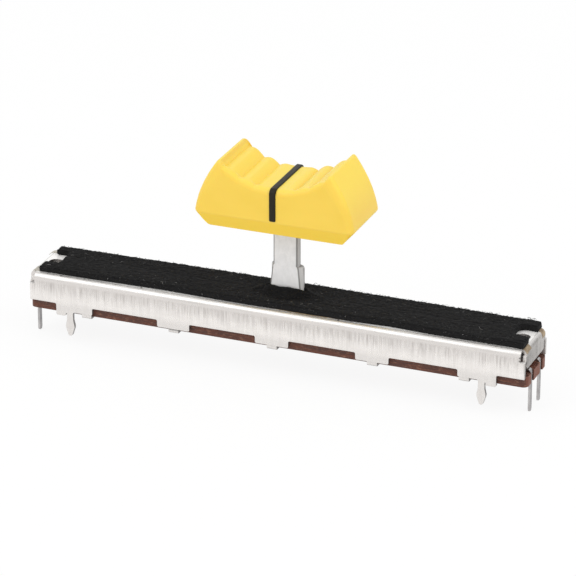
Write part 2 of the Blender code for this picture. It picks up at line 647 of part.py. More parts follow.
def make_lever(mat, origin):
    base, top = LEVER_BASE_WIDTH / 2, LEVER_TOP_WIDTH / 2
    felt_top, shoulder_z = FELT_Z + FELT_THICKNESS, TOP_Z + LEVER_SHOULDER_HEIGHT
    rings = [lever_ring(base, base, LEVER_FOOT_Z), lever_ring(base, base, felt_top)]
    for i in range(LEVER_SHOULDER_STEPS + 1):
        turn = math.pi / 2 * i / LEVER_SHOULDER_STEPS
        z = shoulder_z - LEVER_SHOULDER_ROUND * (1 - math.sin(turn))
        web = base + (top - base) * (z - felt_top) / (shoulder_z - felt_top)
        rings.append(lever_ring(web, top + (base - top) * math.cos(turn), z))
    rings.append(lever_ring(top, top, LEVER_TIP_Z - LEVER_TIP_CHAMFER))
    tip = top - LEVER_TIP_CHAMFER
    rings.append(lever_ring(tip, tip, LEVER_TIP_Z))
    bm = bmesh.new()
    loft(bm, rings)
    solid("lever", bm, mat, origin)


def spring_arc(offset):
    """The friction spring's bow in plan, from left to right, moved outwards by offset."""
    half = SPRING_LENGTH / 2
    radius = (half * half + SPRING_BOW * SPRING_BOW) / (2 * SPRING_BOW)
    swing = math.degrees(math.asin(half / radius))
    crown = INNER_HALF_WIDTH - FIT_GAP - SPRING_THICKNESS
    centre = (SLIDER_OFFSET, crown - radius)
    return arc(centre, radius + offset, 90 + swing, 90 - swing, SPRING_STEPS)


def spring_z():
    return (CARRIAGE_BLOCK_Z + CARRIAGE_TOP_Z) / 2 - SPRING_HEIGHT / 2


def make_friction_spring(mat, origin):
    bm = bmesh.new()
    outline = spring_arc(SPRING_THICKNESS) + spring_arc(0.0)[::-1]
    prism(bm, outline, "Z", spring_z(), spring_z() + SPRING_HEIGHT)
    solid("friction_spring", bm, mat, origin)


def carriage_section():
    """The carriage across the body: a block on two runners, chamfered under the cover's inner bends."""
    half, inner = CARRIAGE_HALF_WIDTH, CARRIAGE_HALF_WIDTH - RUNNER_WIDTH
    foot, top, chamfer = BOARD_TOP_Z + RUNNING_GAP, CARRIAGE_TOP_Z, CARRIAGE_TOP_CHAMFER
    right = [(inner, CARRIAGE_BLOCK_Z), (inner, foot), (half, foot), (half, top - chamfer),
             (half - chamfer, top)]
    return right + [(-y, z) for y, z in reversed(right)]


def lever_socket(bm):
    """The pocket in the carriage's top that the lever's foot is pressed into."""
    half_width, half_depth = LEVER_BASE_WIDTH / 2 + FIT_GAP, LEVER_DEPTH / 2 + FIT_GAP
    box(bm, (SLIDER_OFFSET - half_width, -half_depth, LEVER_FOOT_Z - FIT_GAP),
        (SLIDER_OFFSET + half_width, half_depth, CARRIAGE_TOP_Z + OVERCUT))


def spring_pocket(bm):
    """The pocket in the carriage's back that holds the friction spring."""
    clear = SPRING_POCKET_CLEARANCE
    floor, reach = spring_arc(0.0)[0][1] - clear, SPRING_LENGTH / 2 + clear
    box(bm, (SLIDER_OFFSET - reach, floor, spring_z() - clear),
        (SLIDER_OFFSET + reach, HALF_WIDTH, spring_z() + SPRING_HEIGHT + clear))


def end_chamfer(bm, side):
    """A wedge that takes the upper edge off one end of the carriage."""
    end, size = SLIDER_OFFSET + side * CARRIAGE_LENGTH / 2, CARRIAGE_END_CHAMFER
    wedge = [(end - side * size, CARRIAGE_TOP_Z), (end + side * size, CARRIAGE_TOP_Z - 2 * size),
             (end + side * size, CARRIAGE_TOP_Z + size), (end - side * size, CARRIAGE_TOP_Z + size)]
    prism(bm, wedge, "Y", -HALF_WIDTH, HALF_WIDTH)


def make_carriage(mat, origin):
    half = CARRIAGE_LENGTH / 2
    bm = bmesh.new()
    prism(bm, carriage_section(), "X", SLIDER_OFFSET - half, SLIDER_OFFSET + half)
    carriage = solid("slider_carriage", bm, mat, origin)
    bm = bmesh.new()
    lever_socket(bm)
    spring_pocket(bm)
    for side in (-1, 1):
        end_chamfer(bm, side)
    combine(carriage, "socket_and_pocket", bm)
    bm = bmesh.new()
    plate_low = CARRIAGE_BLOCK_Z - FIT_GAP - WIPER_SHEET
    for hand in (-1, 1):
        cylinder(bm, SLIDER_OFFSET + WIPER_PLATE_X, hand * STAKE_Y, plate_low - STAKE_HEAD,
                 CARRIAGE_BLOCK_Z + STAKE_RADIUS, STAKE_RADIUS, STAKE_STEPS)
    combine(carriage, "stakes", bm, "UNION")


def finger_path():
    """A contact finger, seen from the side: off the plate, down to the track and up at the toe."""
    plate_z = CARRIAGE_BLOCK_Z - FIT_GAP - WIPER_SHEET / 2
    contact_z = FILM_TOP_Z + FILM_GAP + WIPER_SHEET / 2
    start = SLIDER_OFFSET + WIPER_PLATE_X + WIPER_PLATE_LENGTH / 2
    contact = start + FINGER_LENGTH
    path = [(start - FINGER_ROOT, plate_z), (start, plate_z)]
    for i in range(1, FINGER_STEPS + 1):
        t = i / FINGER_STEPS
        fall = (1 - math.cos(math.pi * t)) / 2
        path.append((start + FINGER_LENGTH * t, plate_z + (contact_z - plate_z) * fall))
    path.append((contact + FINGER_TOE, contact_z + FINGER_TOE_LIFT))
    return path


def make_wiper(mat, origin):
    high = CARRIAGE_BLOCK_Z - FIT_GAP
    middle = SLIDER_OFFSET + WIPER_PLATE_X
    half, half_width = WIPER_PLATE_LENGTH / 2, WIPER_PLATE_WIDTH / 2
    bm = bmesh.new()
    box(bm, (middle - half, -half_width, high - WIPER_SHEET), (middle + half, half_width, high))
    wiper = solid("wiper", bm, mat, origin)
    path = finger_path()
    bm = bmesh.new()
    for hand in (-1, 1):
        for i in range(FINGERS_PER_TRACK):
            y = hand * TRACK_Y + (i - (FINGERS_PER_TRACK - 1) / 2) * FINGER_PITCH
            strip(bm, path, [FINGER_WIDTH] * len(path), WIPER_SHEET, y)
    combine(wiper, "fingers", bm, "UNION")
    bm = bmesh.new()
    for hand in (-1, 1):
        cylinder(bm, middle, hand * STAKE_Y, high - OVERCUT, high + OVERCUT, STAKE_RADIUS + FIT_GAP,
                 STAKE_STEPS)
    combine(wiper, "stake_holes", bm)


# Knob

def grip_height(x, inset, cut):
    """Height of the knob's hollowed top at x, above its base: an arc, with grooves cut in by 0 to 1."""
    half, rise = KNOB_PEAK_LENGTH / 2, KNOB_PEAK_HEIGHT - KNOB_VALLEY_HEIGHT
    radius = (half * half + rise * rise) / (2 * rise)
    height = KNOB_VALLEY_HEIGHT + radius - math.sqrt(radius * radius - x * x)
    phase = (abs(x) - FIRST_GROOVE_X) / GROOVE_PITCH
    nearness = 0.0
    if phase > -0.5:
        nearness = 1 - 2 * abs(phase - round(phase))
    return height - GROOVE_DEPTH * cut * nearness ** 2 - inset


def knob_outline(inset, cut):
    """The knob seen from the front, (x, height), drawn in by inset. Its point count is always the same."""
    base, waist = KNOB_BASE_LENGTH / 2 - inset, KNOB_WAIST_LENGTH / 2 - inset
    peak = KNOB_PEAK_LENGTH / 2 - inset
    foot = [(0, inset, 0), (base, inset, KNOB_WAIST_RADIUS), (waist, KNOB_WAIST_HEIGHT, KNOB_WAIST_RADIUS)]
    right = rounded(foot + end_face(waist, peak, inset) + [(0, KNOB_VALLEY_HEIGHT, 0)])
    right = right[1:-1]
    steps = round(KNOB_PEAK_LENGTH / TOP_STEP)
    span = peak - KNOB_PEAK_RADIUS
    top = [(span - 2 * span * i / steps) for i in range(steps + 1)]
    crown = [(x, grip_height(x, inset, cut)) for x in top]
    return right + crown + [(-x, z) for x, z in reversed(right)]


def end_face(waist, peak, inset):
    """Corners up one bulged end of the knob, from above the waist to the rounded peak."""
    low, high = KNOB_WAIST_HEIGHT, grip_height(peak, inset, 0.0)
    face = []
    for i in range(1, KNOB_END_STEPS):
        t = i / KNOB_END_STEPS
        bulge = 4 * KNOB_END_BULGE * t * (1 - t)
        face.append((waist + (peak - waist) * t + bulge, low + (high - low) * t, 0))
    return face + [(peak, high, KNOB_PEAK_RADIUS)]


def knob_stations():
    """The knob's sections from front to back: Y, inset of the outline, and how far the grooves are cut.

    The grooves fade out before the front edge and run out through the back.
    """
    edge = KNOB_WAIST_WIDTH / 2 - KNOB_EDGE_RADIUS
    full = edge - KNOB_FADE_LENGTH
    front, back = [(-full, 0.0, 1.0)], [(edge, 0.0, 1.0)]
    for i in range(1, KNOB_EDGE_STEPS + 1):
        t = i / KNOB_EDGE_STEPS
        front.append((-full - KNOB_FADE_LENGTH * t, 0.0, (1 + math.cos(math.pi * t)) / 2))
    for i in range(1, KNOB_EDGE_STEPS + 1):
        turn = math.pi / 2 * i / KNOB_EDGE_STEPS
        y, inset = edge + KNOB_EDGE_RADIUS * math.sin(turn), KNOB_EDGE_RADIUS * (1 - math.cos(turn))
        front.append((-y, inset, 0.0))
        back.append((y, inset, 1.0))
    return front[::-1] + back


def knob_body():
    """The knob's outer form: sections lofted across Y, then chamfered below the waist in front and behind."""
    bm = bmesh.new()
    loft(bm, [[(SLIDER_OFFSET + x, y, KNOB_Z + z) for x, z in knob_outline(inset, cut)]
              for y, inset, cut in knob_stations()])
    bmesh.ops.recalc_face_normals(bm, faces=bm.faces)
    lean = (KNOB_WAIST_WIDTH - KNOB_BASE_WIDTH) / 2
    for hand in (-1, 1):
        normal = Vector((0, hand * KNOB_WAIST_HEIGHT, -lean))
        place = Vector((0, hand * KNOB_WAIST_WIDTH / 2, KNOB_Z + KNOB_WAIST_HEIGHT))
        geom = bm.verts[:] + bm.edges[:] + bm.faces[:]
        cut = bmesh.ops.bisect_plane(bm, geom=geom, plane_co=place, plane_no=normal, clear_outer=True)
        edges = [e for e in cut["geom_cut"] if isinstance(e, bmesh.types.BMEdge)]
        bmesh.ops.edgeloop_fill(bm, edges=edges)
    return bm


def cut_knob_inside(knob):
    """The lever's socket in a central boss, and four pockets parted by a rib along and across."""
    bm = bmesh.new()
    socket_x, socket_y = LEVER_TOP_WIDTH / 2 + FIT_GAP, LEVER_DEPTH / 2 + FIT_GAP
    box(bm, (SLIDER_OFFSET - socket_x, -socket_y, KNOB_Z - OVERCUT),
        (SLIDER_OFFSET + socket_x, socket_y, LEVER_TIP_Z + KNOB_SOCKET_CLEARANCE))
    outer_x, outer_y = KNOB_BASE_LENGTH / 2 - KNOB_WALL, KNOB_BASE_WIDTH / 2 - KNOB_WALL
    inner_x, inner_y = KNOB_BOSS_LENGTH / 2, KNOB_RIB / 2
    for side in (-1, 1):
        for hand in (-1, 1):
            xs = sorted((SLIDER_OFFSET + side * inner_x, SLIDER_OFFSET + side * outer_x))
            ys = sorted((hand * inner_y, hand * outer_y))
            box(bm, (xs[0], ys[0], KNOB_Z - OVERCUT), (xs[1], ys[1], KNOB_Z + KNOB_POCKET_DEPTH))
    for hand in (-1, 1):
        ys = sorted((hand * KNOB_BOSS_WIDTH / 2, hand * outer_y))
        box(bm, (SLIDER_OFFSET - inner_x + KNOB_RIB, ys[0], KNOB_Z - OVERCUT),
            (SLIDER_OFFSET + inner_x - KNOB_RIB, ys[1], KNOB_Z + KNOB_POCKET_DEPTH))
    combine(knob, "socket_and_pockets", bm)


def line_path(offset, low=LINE_END_Z):
    """The indicator's run up the front, over the top and down the back, in (Y, Z), moved out by offset."""
    half = KNOB_WAIST_WIDTH / 2 + offset
    top = KNOB_Z + KNOB_VALLEY_HEIGHT + offset
    radius = KNOB_EDGE_RADIUS + offset
    front = arc((radius - half, top - radius), radius, 180, 90, LINE_STEPS)
    back = arc((half - radius, top - radius), radius, 90, 0, LINE_STEPS)
    return [(-half, low)] + front + back + [(half, low)]


def make_knob(mat, origin):
    knob = solid("knob", knob_body(), mat, origin)
    cut_knob_inside(knob)
    bm = bmesh.new()
    low = LINE_END_Z - FIT_GAP
    groove = line_path(OVERCUT, low) + line_path(-LINE_SUNK - FIT_GAP, low)[::-1]
    half = LINE_WIDTH / 2 + FIT_GAP
    prism(bm, groove, "X", SLIDER_OFFSET - half, SLIDER_OFFSET + half)
    combine(knob, "line_groove", bm)


def make_indicator(mat, origin):
    bm = bmesh.new()
    outline = line_path(LINE_PROUD) + line_path(-LINE_SUNK)[::-1]
    prism(bm, outline, "X", SLIDER_OFFSET - LINE_WIDTH / 2, SLIDER_OFFSET + LINE_WIDTH / 2)
    solid("indicator_line", bm, mat, origin)


def main():
    clear_scene()
    steel = material("tinned_steel", (0.78, 0.78, 0.77), 0.34, 1.0)
    tinned = material("tinned_brass", (0.74, 0.73, 0.71), 0.3, 1.0)
    bronze = material("spring_bronze", (0.72, 0.48, 0.26), 0.35, 1.0)
    silver = material("silver_print", (0.6, 0.6, 0.58), 0.5, 0.6)
    carbon = material("carbon_print", (0.02, 0.02, 0.02), 0.55)
    phenolic = material("brown_phenolic", (0.155, 0.052, 0.033), 0.6)
    black_felt = material("black_felt", (0.012, 0.012, 0.013), 0.95)
    tape = material("tan_adhesive", (0.36, 0.27, 0.17), 0.6)
    acetal = material("natural_acetal", (0.72, 0.71, 0.67), 0.45)
    yellow = material("yellow_plastic", (0.93, 0.62, 0.1), 0.4)
    black = material("black_plastic", (0.02, 0.019, 0.019), 0.35)

    make_cover(steel)
    make_strip("felt_adhesive", tape, ADHESIVE_MARGIN, ADHESIVE_Z, ADHESIVE_THICKNESS, ADHESIVE_SLIT_WIDTH)
    make_strip("dust_felt", black_felt, 0.0, FELT_Z, FELT_THICKNESS, FELT_SLIT_WIDTH)
    make_board(phenolic)
    make_films(carbon, silver)
    for name, side, y in terminal_places():
        make_terminal(name, tinned, side, y)
        make_eyelet(name, tinned, side, y)

    origin = make_slider_origin()
    make_carriage(acetal, origin)
    make_wiper(bronze, origin)
    make_friction_spring(bronze, origin)
    make_lever(steel, origin)
    make_knob(yellow, origin)
    make_indicator(black, origin)


main()
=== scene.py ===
"""Looks of the slide potentiometer: its finishes, its soft felt strip, and a studio table to show it on."""

import math
import random

import bmesh
import bpy
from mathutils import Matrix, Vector, noise


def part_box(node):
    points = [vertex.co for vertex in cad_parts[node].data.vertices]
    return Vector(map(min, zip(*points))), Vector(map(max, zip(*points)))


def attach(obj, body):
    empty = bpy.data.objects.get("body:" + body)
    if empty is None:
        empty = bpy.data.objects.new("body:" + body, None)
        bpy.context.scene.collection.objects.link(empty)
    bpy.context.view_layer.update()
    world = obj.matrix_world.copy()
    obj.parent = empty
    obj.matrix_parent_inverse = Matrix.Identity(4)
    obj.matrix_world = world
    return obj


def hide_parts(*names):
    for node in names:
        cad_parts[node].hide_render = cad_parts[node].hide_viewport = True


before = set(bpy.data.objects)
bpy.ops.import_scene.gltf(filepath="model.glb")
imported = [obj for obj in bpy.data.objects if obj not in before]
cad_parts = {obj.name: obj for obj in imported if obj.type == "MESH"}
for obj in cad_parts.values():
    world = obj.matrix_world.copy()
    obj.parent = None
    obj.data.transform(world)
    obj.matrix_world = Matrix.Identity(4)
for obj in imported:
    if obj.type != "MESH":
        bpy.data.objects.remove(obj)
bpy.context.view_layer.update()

MM = 0.001
PER_MM = 1000.0

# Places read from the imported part
cover_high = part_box("cover")[1]
felt_low, felt_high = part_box("dust_felt")
film_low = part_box("felt_adhesive")[0]
lever_low, lever_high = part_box("lever")
knob_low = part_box("knob")[0]
TOP = cover_high.z
END_X = cover_high.x
SIDE_Y = cover_high.y
SLIDER_X = (lever_low.x + lever_high.x) / 2

# Camera, at the photograph's angle, and the picture's pixels that fix it
PICTURE = 576
SENSOR = 36.0
AZIMUTH = math.radians(21.9)
ELEVATION = math.radians(23.66)
CAMERA_DISTANCE = 529.8 * MM
FOCAL_PIXELS = 3735.1
COVER_MIDDLE_PIXEL = (284.04, 298.52)

# Light, and each lamp's place, width and power
WORLD_LIGHT = 0.86
LAMPS = {"key": ((-0.32, -0.42, 0.55), 0.5, 1.1), "fill": ((0.48, -0.12, 0.45), 0.45, 0.8)}

# Cover
FLAP_BEND_RADIUS = 0.8 * MM
FLAP_HALF_WIDTH = 3.81 * MM
EAR_HALF_WIDTH = 4.21 * MM
CORNER_RELIEF_DEPTH = 1.75 * MM
LEFT_FLAP_OUT = 0.25 * MM  # the photographed left flap isn't bent quite home
FELT_EDGE_LINE_Y = 4.2  # millimetres from the middle, where a thin dull line runs just outside the felt's edges
MARK_RADIUS = 0.2 * MM
# Small dark marks from the photograph on the front bend, and painted shade in the slit beside its right end
DARK_MARKS_AND_SLIT_SHADE = ((-32.9 * MM, -4.2 * MM, TOP - 0.08 * MM), (-20.4 * MM, -3.9 * MM, TOP),
                  (9.8 * MM, -4.1 * MM, TOP - 0.05 * MM), (END_X - 0.72 * MM, -SIDE_Y, TOP - 1.05 * MM),
                  (END_X - 0.75 * MM, -SIDE_Y, TOP - 1.5 * MM))

# Felt strip
FELT_VOXEL = 0.17 * MM
FELT_SOFTENING = 2
FELT_SETTLING = 0.07 * MM  # into the film, where softening would lift the edge
# Each notch's length, front and back side and corner radius, by whether it is at the right end
FELT_NOTCHES = {False: (2.35 * MM, -1.75 * MM, 2.4 * MM, 0.6 * MM),
                True: (2.1 * MM, -1.4 * MM, 2.2 * MM, 1.4 * MM)}
FRONT_DRAW_IN = 0.30 * MM
LEFT_ARM_CUT = 0.2 * MM
RIGHT_OVERHANG = 0.45 * MM
RIGHT_SAG = 0.12 * MM
MIDDLE_SWELL = 0.19 * MM
RIGHT_THINNING = 0.07 * MM
SLIT_HALF_LENGTH = 33.4 * MM
SLIT_HALF_WIDTH = 0.2 * MM
SLIT_DEPTH = 0.09 * MM
SLIT_SHIFT = 0.9 * MM  # towards the back at the left end
SLIT_WANDER = 0.1 * MM
# Noise on the strip's edge and on the lips: lumps to the millimetre, and height
EDGE_RAGS = ((1.3, 0.10 * MM), (3.1, 0.15 * MM), (6.0, 0.10 * MM))
LIP_RAGS = ((1.2, 0.09 * MM), (3.0, 0.06 * MM), (6.0, 0.04 * MM))
# Noise on the strip's top: lumps to the millimetre along and across, seed and height
TOP_RAGS = ((1.1, 2.2, 7.0, 0.07 * MM), (2.8, 4.0, 1.0, 0.09 * MM), (0.12, 0.3, 4.0, 0.05 * MM))

# Lips, which the lever parts in the strip
LIP_REACH = 6.5 * MM
LIP_RISE = 1.16 * MM
LIP_HALF_WIDTH = 3.0 * MM
LIP_CREST = 0.42 * MM  # from the gap to the crest
LIP_SUNK = 0.1 * MM  # its foot, in the strip
# Steps from the crest down to the gap, out and up, in millimetres at full rounding
LIP_ROUNDING = ((0.20, 0.02), (0.05, -0.08), (0.0, -0.28))
LIP_STEPS = 12
LIP_STATIONS = 72

# Fibres
FIBRE_POINTS = 6
FIBRE_COUNT = 3400
EDGE_FIBRE_COUNT = 900
LIP_FIBRE_COUNT = 320
FIBRE_RADIUS = 0.014 * MM

# Adhesive film
FILM_INSET = 0.45 * MM  # under the felt's edge and round its notches
FILM_THICKNESS = 0.06 * MM
FILM_STRETCH = 1.8 * MM
FILM_END_SPREAD = 0.1
FILM_CUTS = (380, 24)  # along and across
FILM_FRONT_REACH = 0.56 * MM
FILM_RAG = 0.12 * MM
FILM_CORNER_OUT = 0.1 * MM
FILM_STIFFNESS = 0.9  # of its left end at the back, as a share of the bend's radius
# How far the film shows past the felt's end: (right, back)
FILM_END_REACH = {(False, False): 0.75 * MM, (False, True): 1.5 * MM,
                  (True, False): 1.15 * MM, (True, True): 1.75 * MM}

# Knob, heights counted from its base
KNOB_BASE_HALF = 10.05 * MM
KNOB_BASE_HALF_WIDTH = 4.3 * MM
KNOB_WAIST_HALF = 12.0 * MM
KNOB_HALF_WIDTH = 5.35 * MM
KNOB_WAIST_HEIGHT = 2.2 * MM
KNOB_PEAK_HALF = 8.45 * MM
KNOB_PEAK_HEIGHT = 10.15 * MM
KNOB_VALLEY_HEIGHT = 7.0 * MM
KNOB_BULGE = 0.6 * MM
KNOB_CORNER = 0.5 * MM
KNOB_PEAK_RADIUS = 0.45 * MM
KNOB_EDGE = 0.95 * MM
KNOB_EDGE_START = KNOB_HALF_WIDTH - KNOB_EDGE
KNOB_EDGE_STEPS = 7
KNOB_WAIST_SOFTNESS = 0.42 * MM
FADE_LENGTH = 1.1 * MM
FADE_STEPS = 6
FULL_GROOVES = KNOB_EDGE_START - FADE_LENGTH + KNOB_EDGE * 0.4
GROOVE_DEPTH = 0.56 * MM
GROOVE_PITCH = 2.35 * MM
FIRST_GROOVE = 2.95 * MM
CROWN_STEP = 0.12 * MM
SOCKET_HALF = (1.91 * MM, 0.63 * MM)
SOCKET_TOP = 3.75 * MM
POCKET_TOP = 4.6 * MM
KNOB_WALL = 1.15 * MM
KNOB_RIB = 0.8 * MM
BOSS_HALF = (3.2 * MM, 1.9 * MM)

# Indicator line
LINE_HALF_WIDTH = 0.475 * MM
LINE_PROUD = 0.2 * MM
LINE_SUNK = 0.15 * MM
LINE_CORNER = 0.17 * MM
LINE_BEND_RADIUS = 0.62 * MM
LINE_END = 2.35 * MM
# Size of its section and place along its path, in corner radii, at a rounded end
ROUNDED_END = ((0.0, 0.0), (0.5, 0.134), (0.866, 0.5), (1.0, 1.0))


# Meshes

def ring(bm, points):
    """A closed loop of edges through the points."""
    verts = [bm.verts.new(p) for p in points]
    return [bm.edges.new((verts[i - 1], verts[i])) for i in range(len(verts))]


def skin(bm, rings):
    """Bridges each ring to the next and closes the first and the last."""
    for lower, upper in zip(rings, rings[1:]):
        bmesh.ops.bridge_loops(bm, edges=lower + upper)
    for end in (rings[0], rings[-1]):
        bmesh.ops.edgeloop_fill(bm, edges=end)


def mesh_of(bm, name):
    """Ends a bmesh as a mesh."""
    mesh = bpy.data.meshes.new(name)
    bm.to_mesh(mesh)
    bm.free()
    return mesh


def bmesh_of(mesh):
    """Opens a mesh as a bmesh."""
    bm = bmesh.new()
    bm.from_mesh(mesh)
    return bm


def add(name, data):
    """Puts an object into the scene."""
    obj = bpy.data.objects.new(name, data)
    bpy.context.scene.collection.objects.link(obj)
    return obj


def piece(name, bm, mat, body, smooth):
    """Makes a piece of a bmesh that is in place, and lets it ride on a body."""
    bmesh.ops.remove_doubles(bm, verts=bm.verts, dist=1e-7)
    bmesh.ops.recalc_face_normals(bm, faces=bm.faces)
    mesh = mesh_of(bm, name)
    mesh.shade_smooth()
    mesh.set_sharp_from_angle(angle=math.radians(smooth))
    mesh.materials.append(mat)
    obj = add(name, mesh)
    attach(obj, body)
    return obj


def evaluated_mesh(obj):
    """What an object's modifiers, or a curve's settings, make of it."""
    bpy.context.view_layer.update()
    return bpy.data.meshes.new_from_object(obj.evaluated_get(bpy.context.evaluated_depsgraph_get()))


def apply_modifiers(obj):
    """Keeps what a piece's modifiers make of its mesh."""
    mesh = evaluated_mesh(obj)
    obj.modifiers.clear()
    obj.data = mesh


def cut(obj, bm):
    """Cuts a helper solid out of a piece."""
    bmesh.ops.recalc_face_normals(bm, faces=bm.faces)
    helper = add("cutter", mesh_of(bm, "cutter"))
    modifier = obj.modifiers.new("cut", "BOOLEAN")
    modifier.operation = "DIFFERENCE"
    modifier.object = helper
    apply_modifiers(obj)
    bpy.data.objects.remove(helper)


def weigh_normals(obj):
    """Shades a piece's large faces flat and its roundings smooth."""
    obj.modifiers.new("weighted_normals", "WEIGHTED_NORMAL").keep_sharp = True


def bisect(bm, place, normal, **settings):
    """Cuts a mesh at a plane and returns the edges of the cut."""
    geom = bm.verts[:] + bm.edges[:] + bm.faces[:]
    made = bmesh.ops.bisect_plane(bm, geom=geom, plane_co=place, plane_no=normal, **settings)
    return [e for e in made["geom_cut"] if isinstance(e, bmesh.types.BMEdge)]


def arc(centre, radius, start, end, steps):
    """Points from angle start to angle end, in degrees, on a circle."""
    angles = [math.radians(start + (end - start) * i / steps) for i in range(steps + 1)]
    return [(centre[0] + radius * math.cos(a), centre[1] + radius * math.sin(a)) for a in angles]


def rounded(corners, steps):
    """A closed outline of corners (x, y, radius), each rounded by an arc that fits its two sides."""
    points = []
    for i, (x, y, radius) in enumerate(corners):
        if radius <= 0:
            points.append((x, y))
            continue
        here = Vector((x, y))
        before = Vector(corners[i - 1][:2]) - here
        after = Vector(corners[(i + 1) % len(corners)][:2]) - here
        half = before.angle(after) / 2
        reach = min(radius / math.tan(half), before.length * 0.49, after.length * 0.49)
        radius = reach * math.tan(half)
        centre = here + (before.normalized() + after.normalized()).normalized() * radius / math.sin(half)
        first, last = here + before.normalized() * reach - centre, here + after.normalized() * reach - centre
        turn = first.angle_signed(last)
        for k in range(steps + 1):
            angle = -turn * k / steps
            points.append((centre.x + first.x * math.cos(angle) - first.y * math.sin(angle),
                           centre.y + first.x * math.sin(angle) + first.y * math.cos(angle)))
    return points


def ease(low, high, value):
    """0 at low, 1 at high and smooth between them, in either direction."""
    t = min(max((value - low) / (high - low), 0.0), 1.0)
    return t * t * (3 - 2 * t)


# Materials

def new_material(name, color, roughness, **more):
    """Starts a material. More of its inputs go by their names, with _ for a space."""
    mat = bpy.data.materials.new(name)
    mat.use_nodes = True
    shader = mat.node_tree.nodes["Principled BSDF"]
    for key, value in {"Base_Color": (*color, 1.0), "Roughness": roughness, **more}.items():
        shader.inputs[key.replace("_", " ")].default_value = value
    return mat, mat.node_tree, shader


def paint(shader, color, roughness=None):
    """Feeds a material's colour, and its roughness where that varies."""
    links = shader.id_data.links
    links.new(color, shader.inputs["Base Color"])
    if roughness:
        links.new(roughness, shader.inputs["Roughness"])


def node(source, kind, inputs=None, **settings):
    """Adds a node beside source, a tree or a socket. An input is a value, or the output that feeds it."""
    tree = source.id_data
    made = tree.nodes.new("ShaderNode" + kind)
    for key, value in settings.items():
        setattr(made, key, value)
    for key, value in (inputs or {}).items():
        if isinstance(value, bpy.types.NodeSocket):
            tree.links.new(value, made.inputs[key])
        else:
            made.inputs[key].default_value = value
    return made


def millimetres(tree, stretch=(1, 1, 1)):
    """The object's own coordinates in millimetres, multiplied along each axis."""
    here = node(tree, "TexCoord").outputs["Object"]
    scale = [s * PER_MM for s in stretch]
    return node(tree, "Mapping", {"Vector": here, "Scale": scale}).outputs["Vector"]


def grain(tree, scale, stretch=(1, 1, 1), detail=3.0, roughness=0.55):
    """Noise with scale lumps to the millimetre, from 0 to 1."""
    return node(tree, "TexNoise", {"Vector": millimetres(tree, stretch), "Scale": scale, "Detail": detail,
                                   "Roughness": roughness}).outputs["Fac"]


def ramp(value, low, high, to_low=0.0, to_high=1.0):
    """Takes value from between low and high to between two others, clamped."""
    return node(value, "MapRange", {"Value": value, "From Min": low, "From Max": high, "To Min": to_low,
                                    "To Max": to_high}).outputs["Result"]


def maths(operation, a, b=0.0):
    """One step of arithmetic on two values, of which one or both are sockets."""
    source = a if isinstance(a, bpy.types.NodeSocket) else b
    return node(source, "Math", {0: a, 1: b}, operation=operation).outputs[0]


def mixed(factor, a, b):
    """A colour between a and b, each a colour or a socket. The numbers are the node's colour sockets."""
    a, b = (c if isinstance(c, bpy.types.NodeSocket) else (*c, 1.0) for c in (a, b))
    return node(factor, "Mix", {0: factor, 6: a, 7: b}, data_type="RGBA").outputs[2]


def layered(color, *layers):
    """A colour with others laid over it, each given as how far it covers and what it is."""
    for cover, over in layers:
        color = mixed(cover, color, over)
    return color


def place_of(tree):
    """The place on the part as x, y and z in millimetres."""
    return node(tree, "SeparateXYZ", {"Vector": millimetres(tree)}).outputs


def facing(tree):
    """How squarely the surface faces along X, along Y and up, each from 0 to 1. Down counts as up."""
    normal = node(tree, "TexCoord").outputs["Normal"]
    split = node(tree, "SeparateXYZ", {"Vector": normal})
    return [maths("ABSOLUTE", axis) for axis in split.outputs]


def product(*factors):
    """The product of sockets and values, a socket first."""
    value = factors[0]
    for factor in factors[1:]:
        value = maths("MULTIPLY", value, factor)
    return value


def attribute(tree, name):
    """A value that is kept in the mesh."""
    return node(tree, "Attribute", attribute_name=name).outputs["Fac"]


def bump(shader, height, distance, strength=1.0, edge=0.0):
    """Raises the surface by height times distance, over edges softened by a radius, in millimetres."""
    inputs = {"Height": height, "Distance": distance * MM, "Strength": strength}
    if edge:
        soft = node(height, "Bevel", {"Radius": edge * MM}, samples=6)
        inputs["Normal"] = soft.outputs["Normal"]
    normal = node(height, "Bump", inputs).outputs["Normal"]
    shader.id_data.links.new(normal, shader.inputs["Normal"])


def spot(tree, place, radius):
    """1 at a place on the part, falling to 0 at a ragged radius, in metres."""
    here = node(tree, "TexCoord").outputs["Object"]
    apart = node(tree, "VectorMath", {0: here, 1: place}, operation="DISTANCE").outputs["Value"]
    return ramp(maths("ADD", apart, product(grain(tree, 9.0), radius)), radius * 1.5, radius)


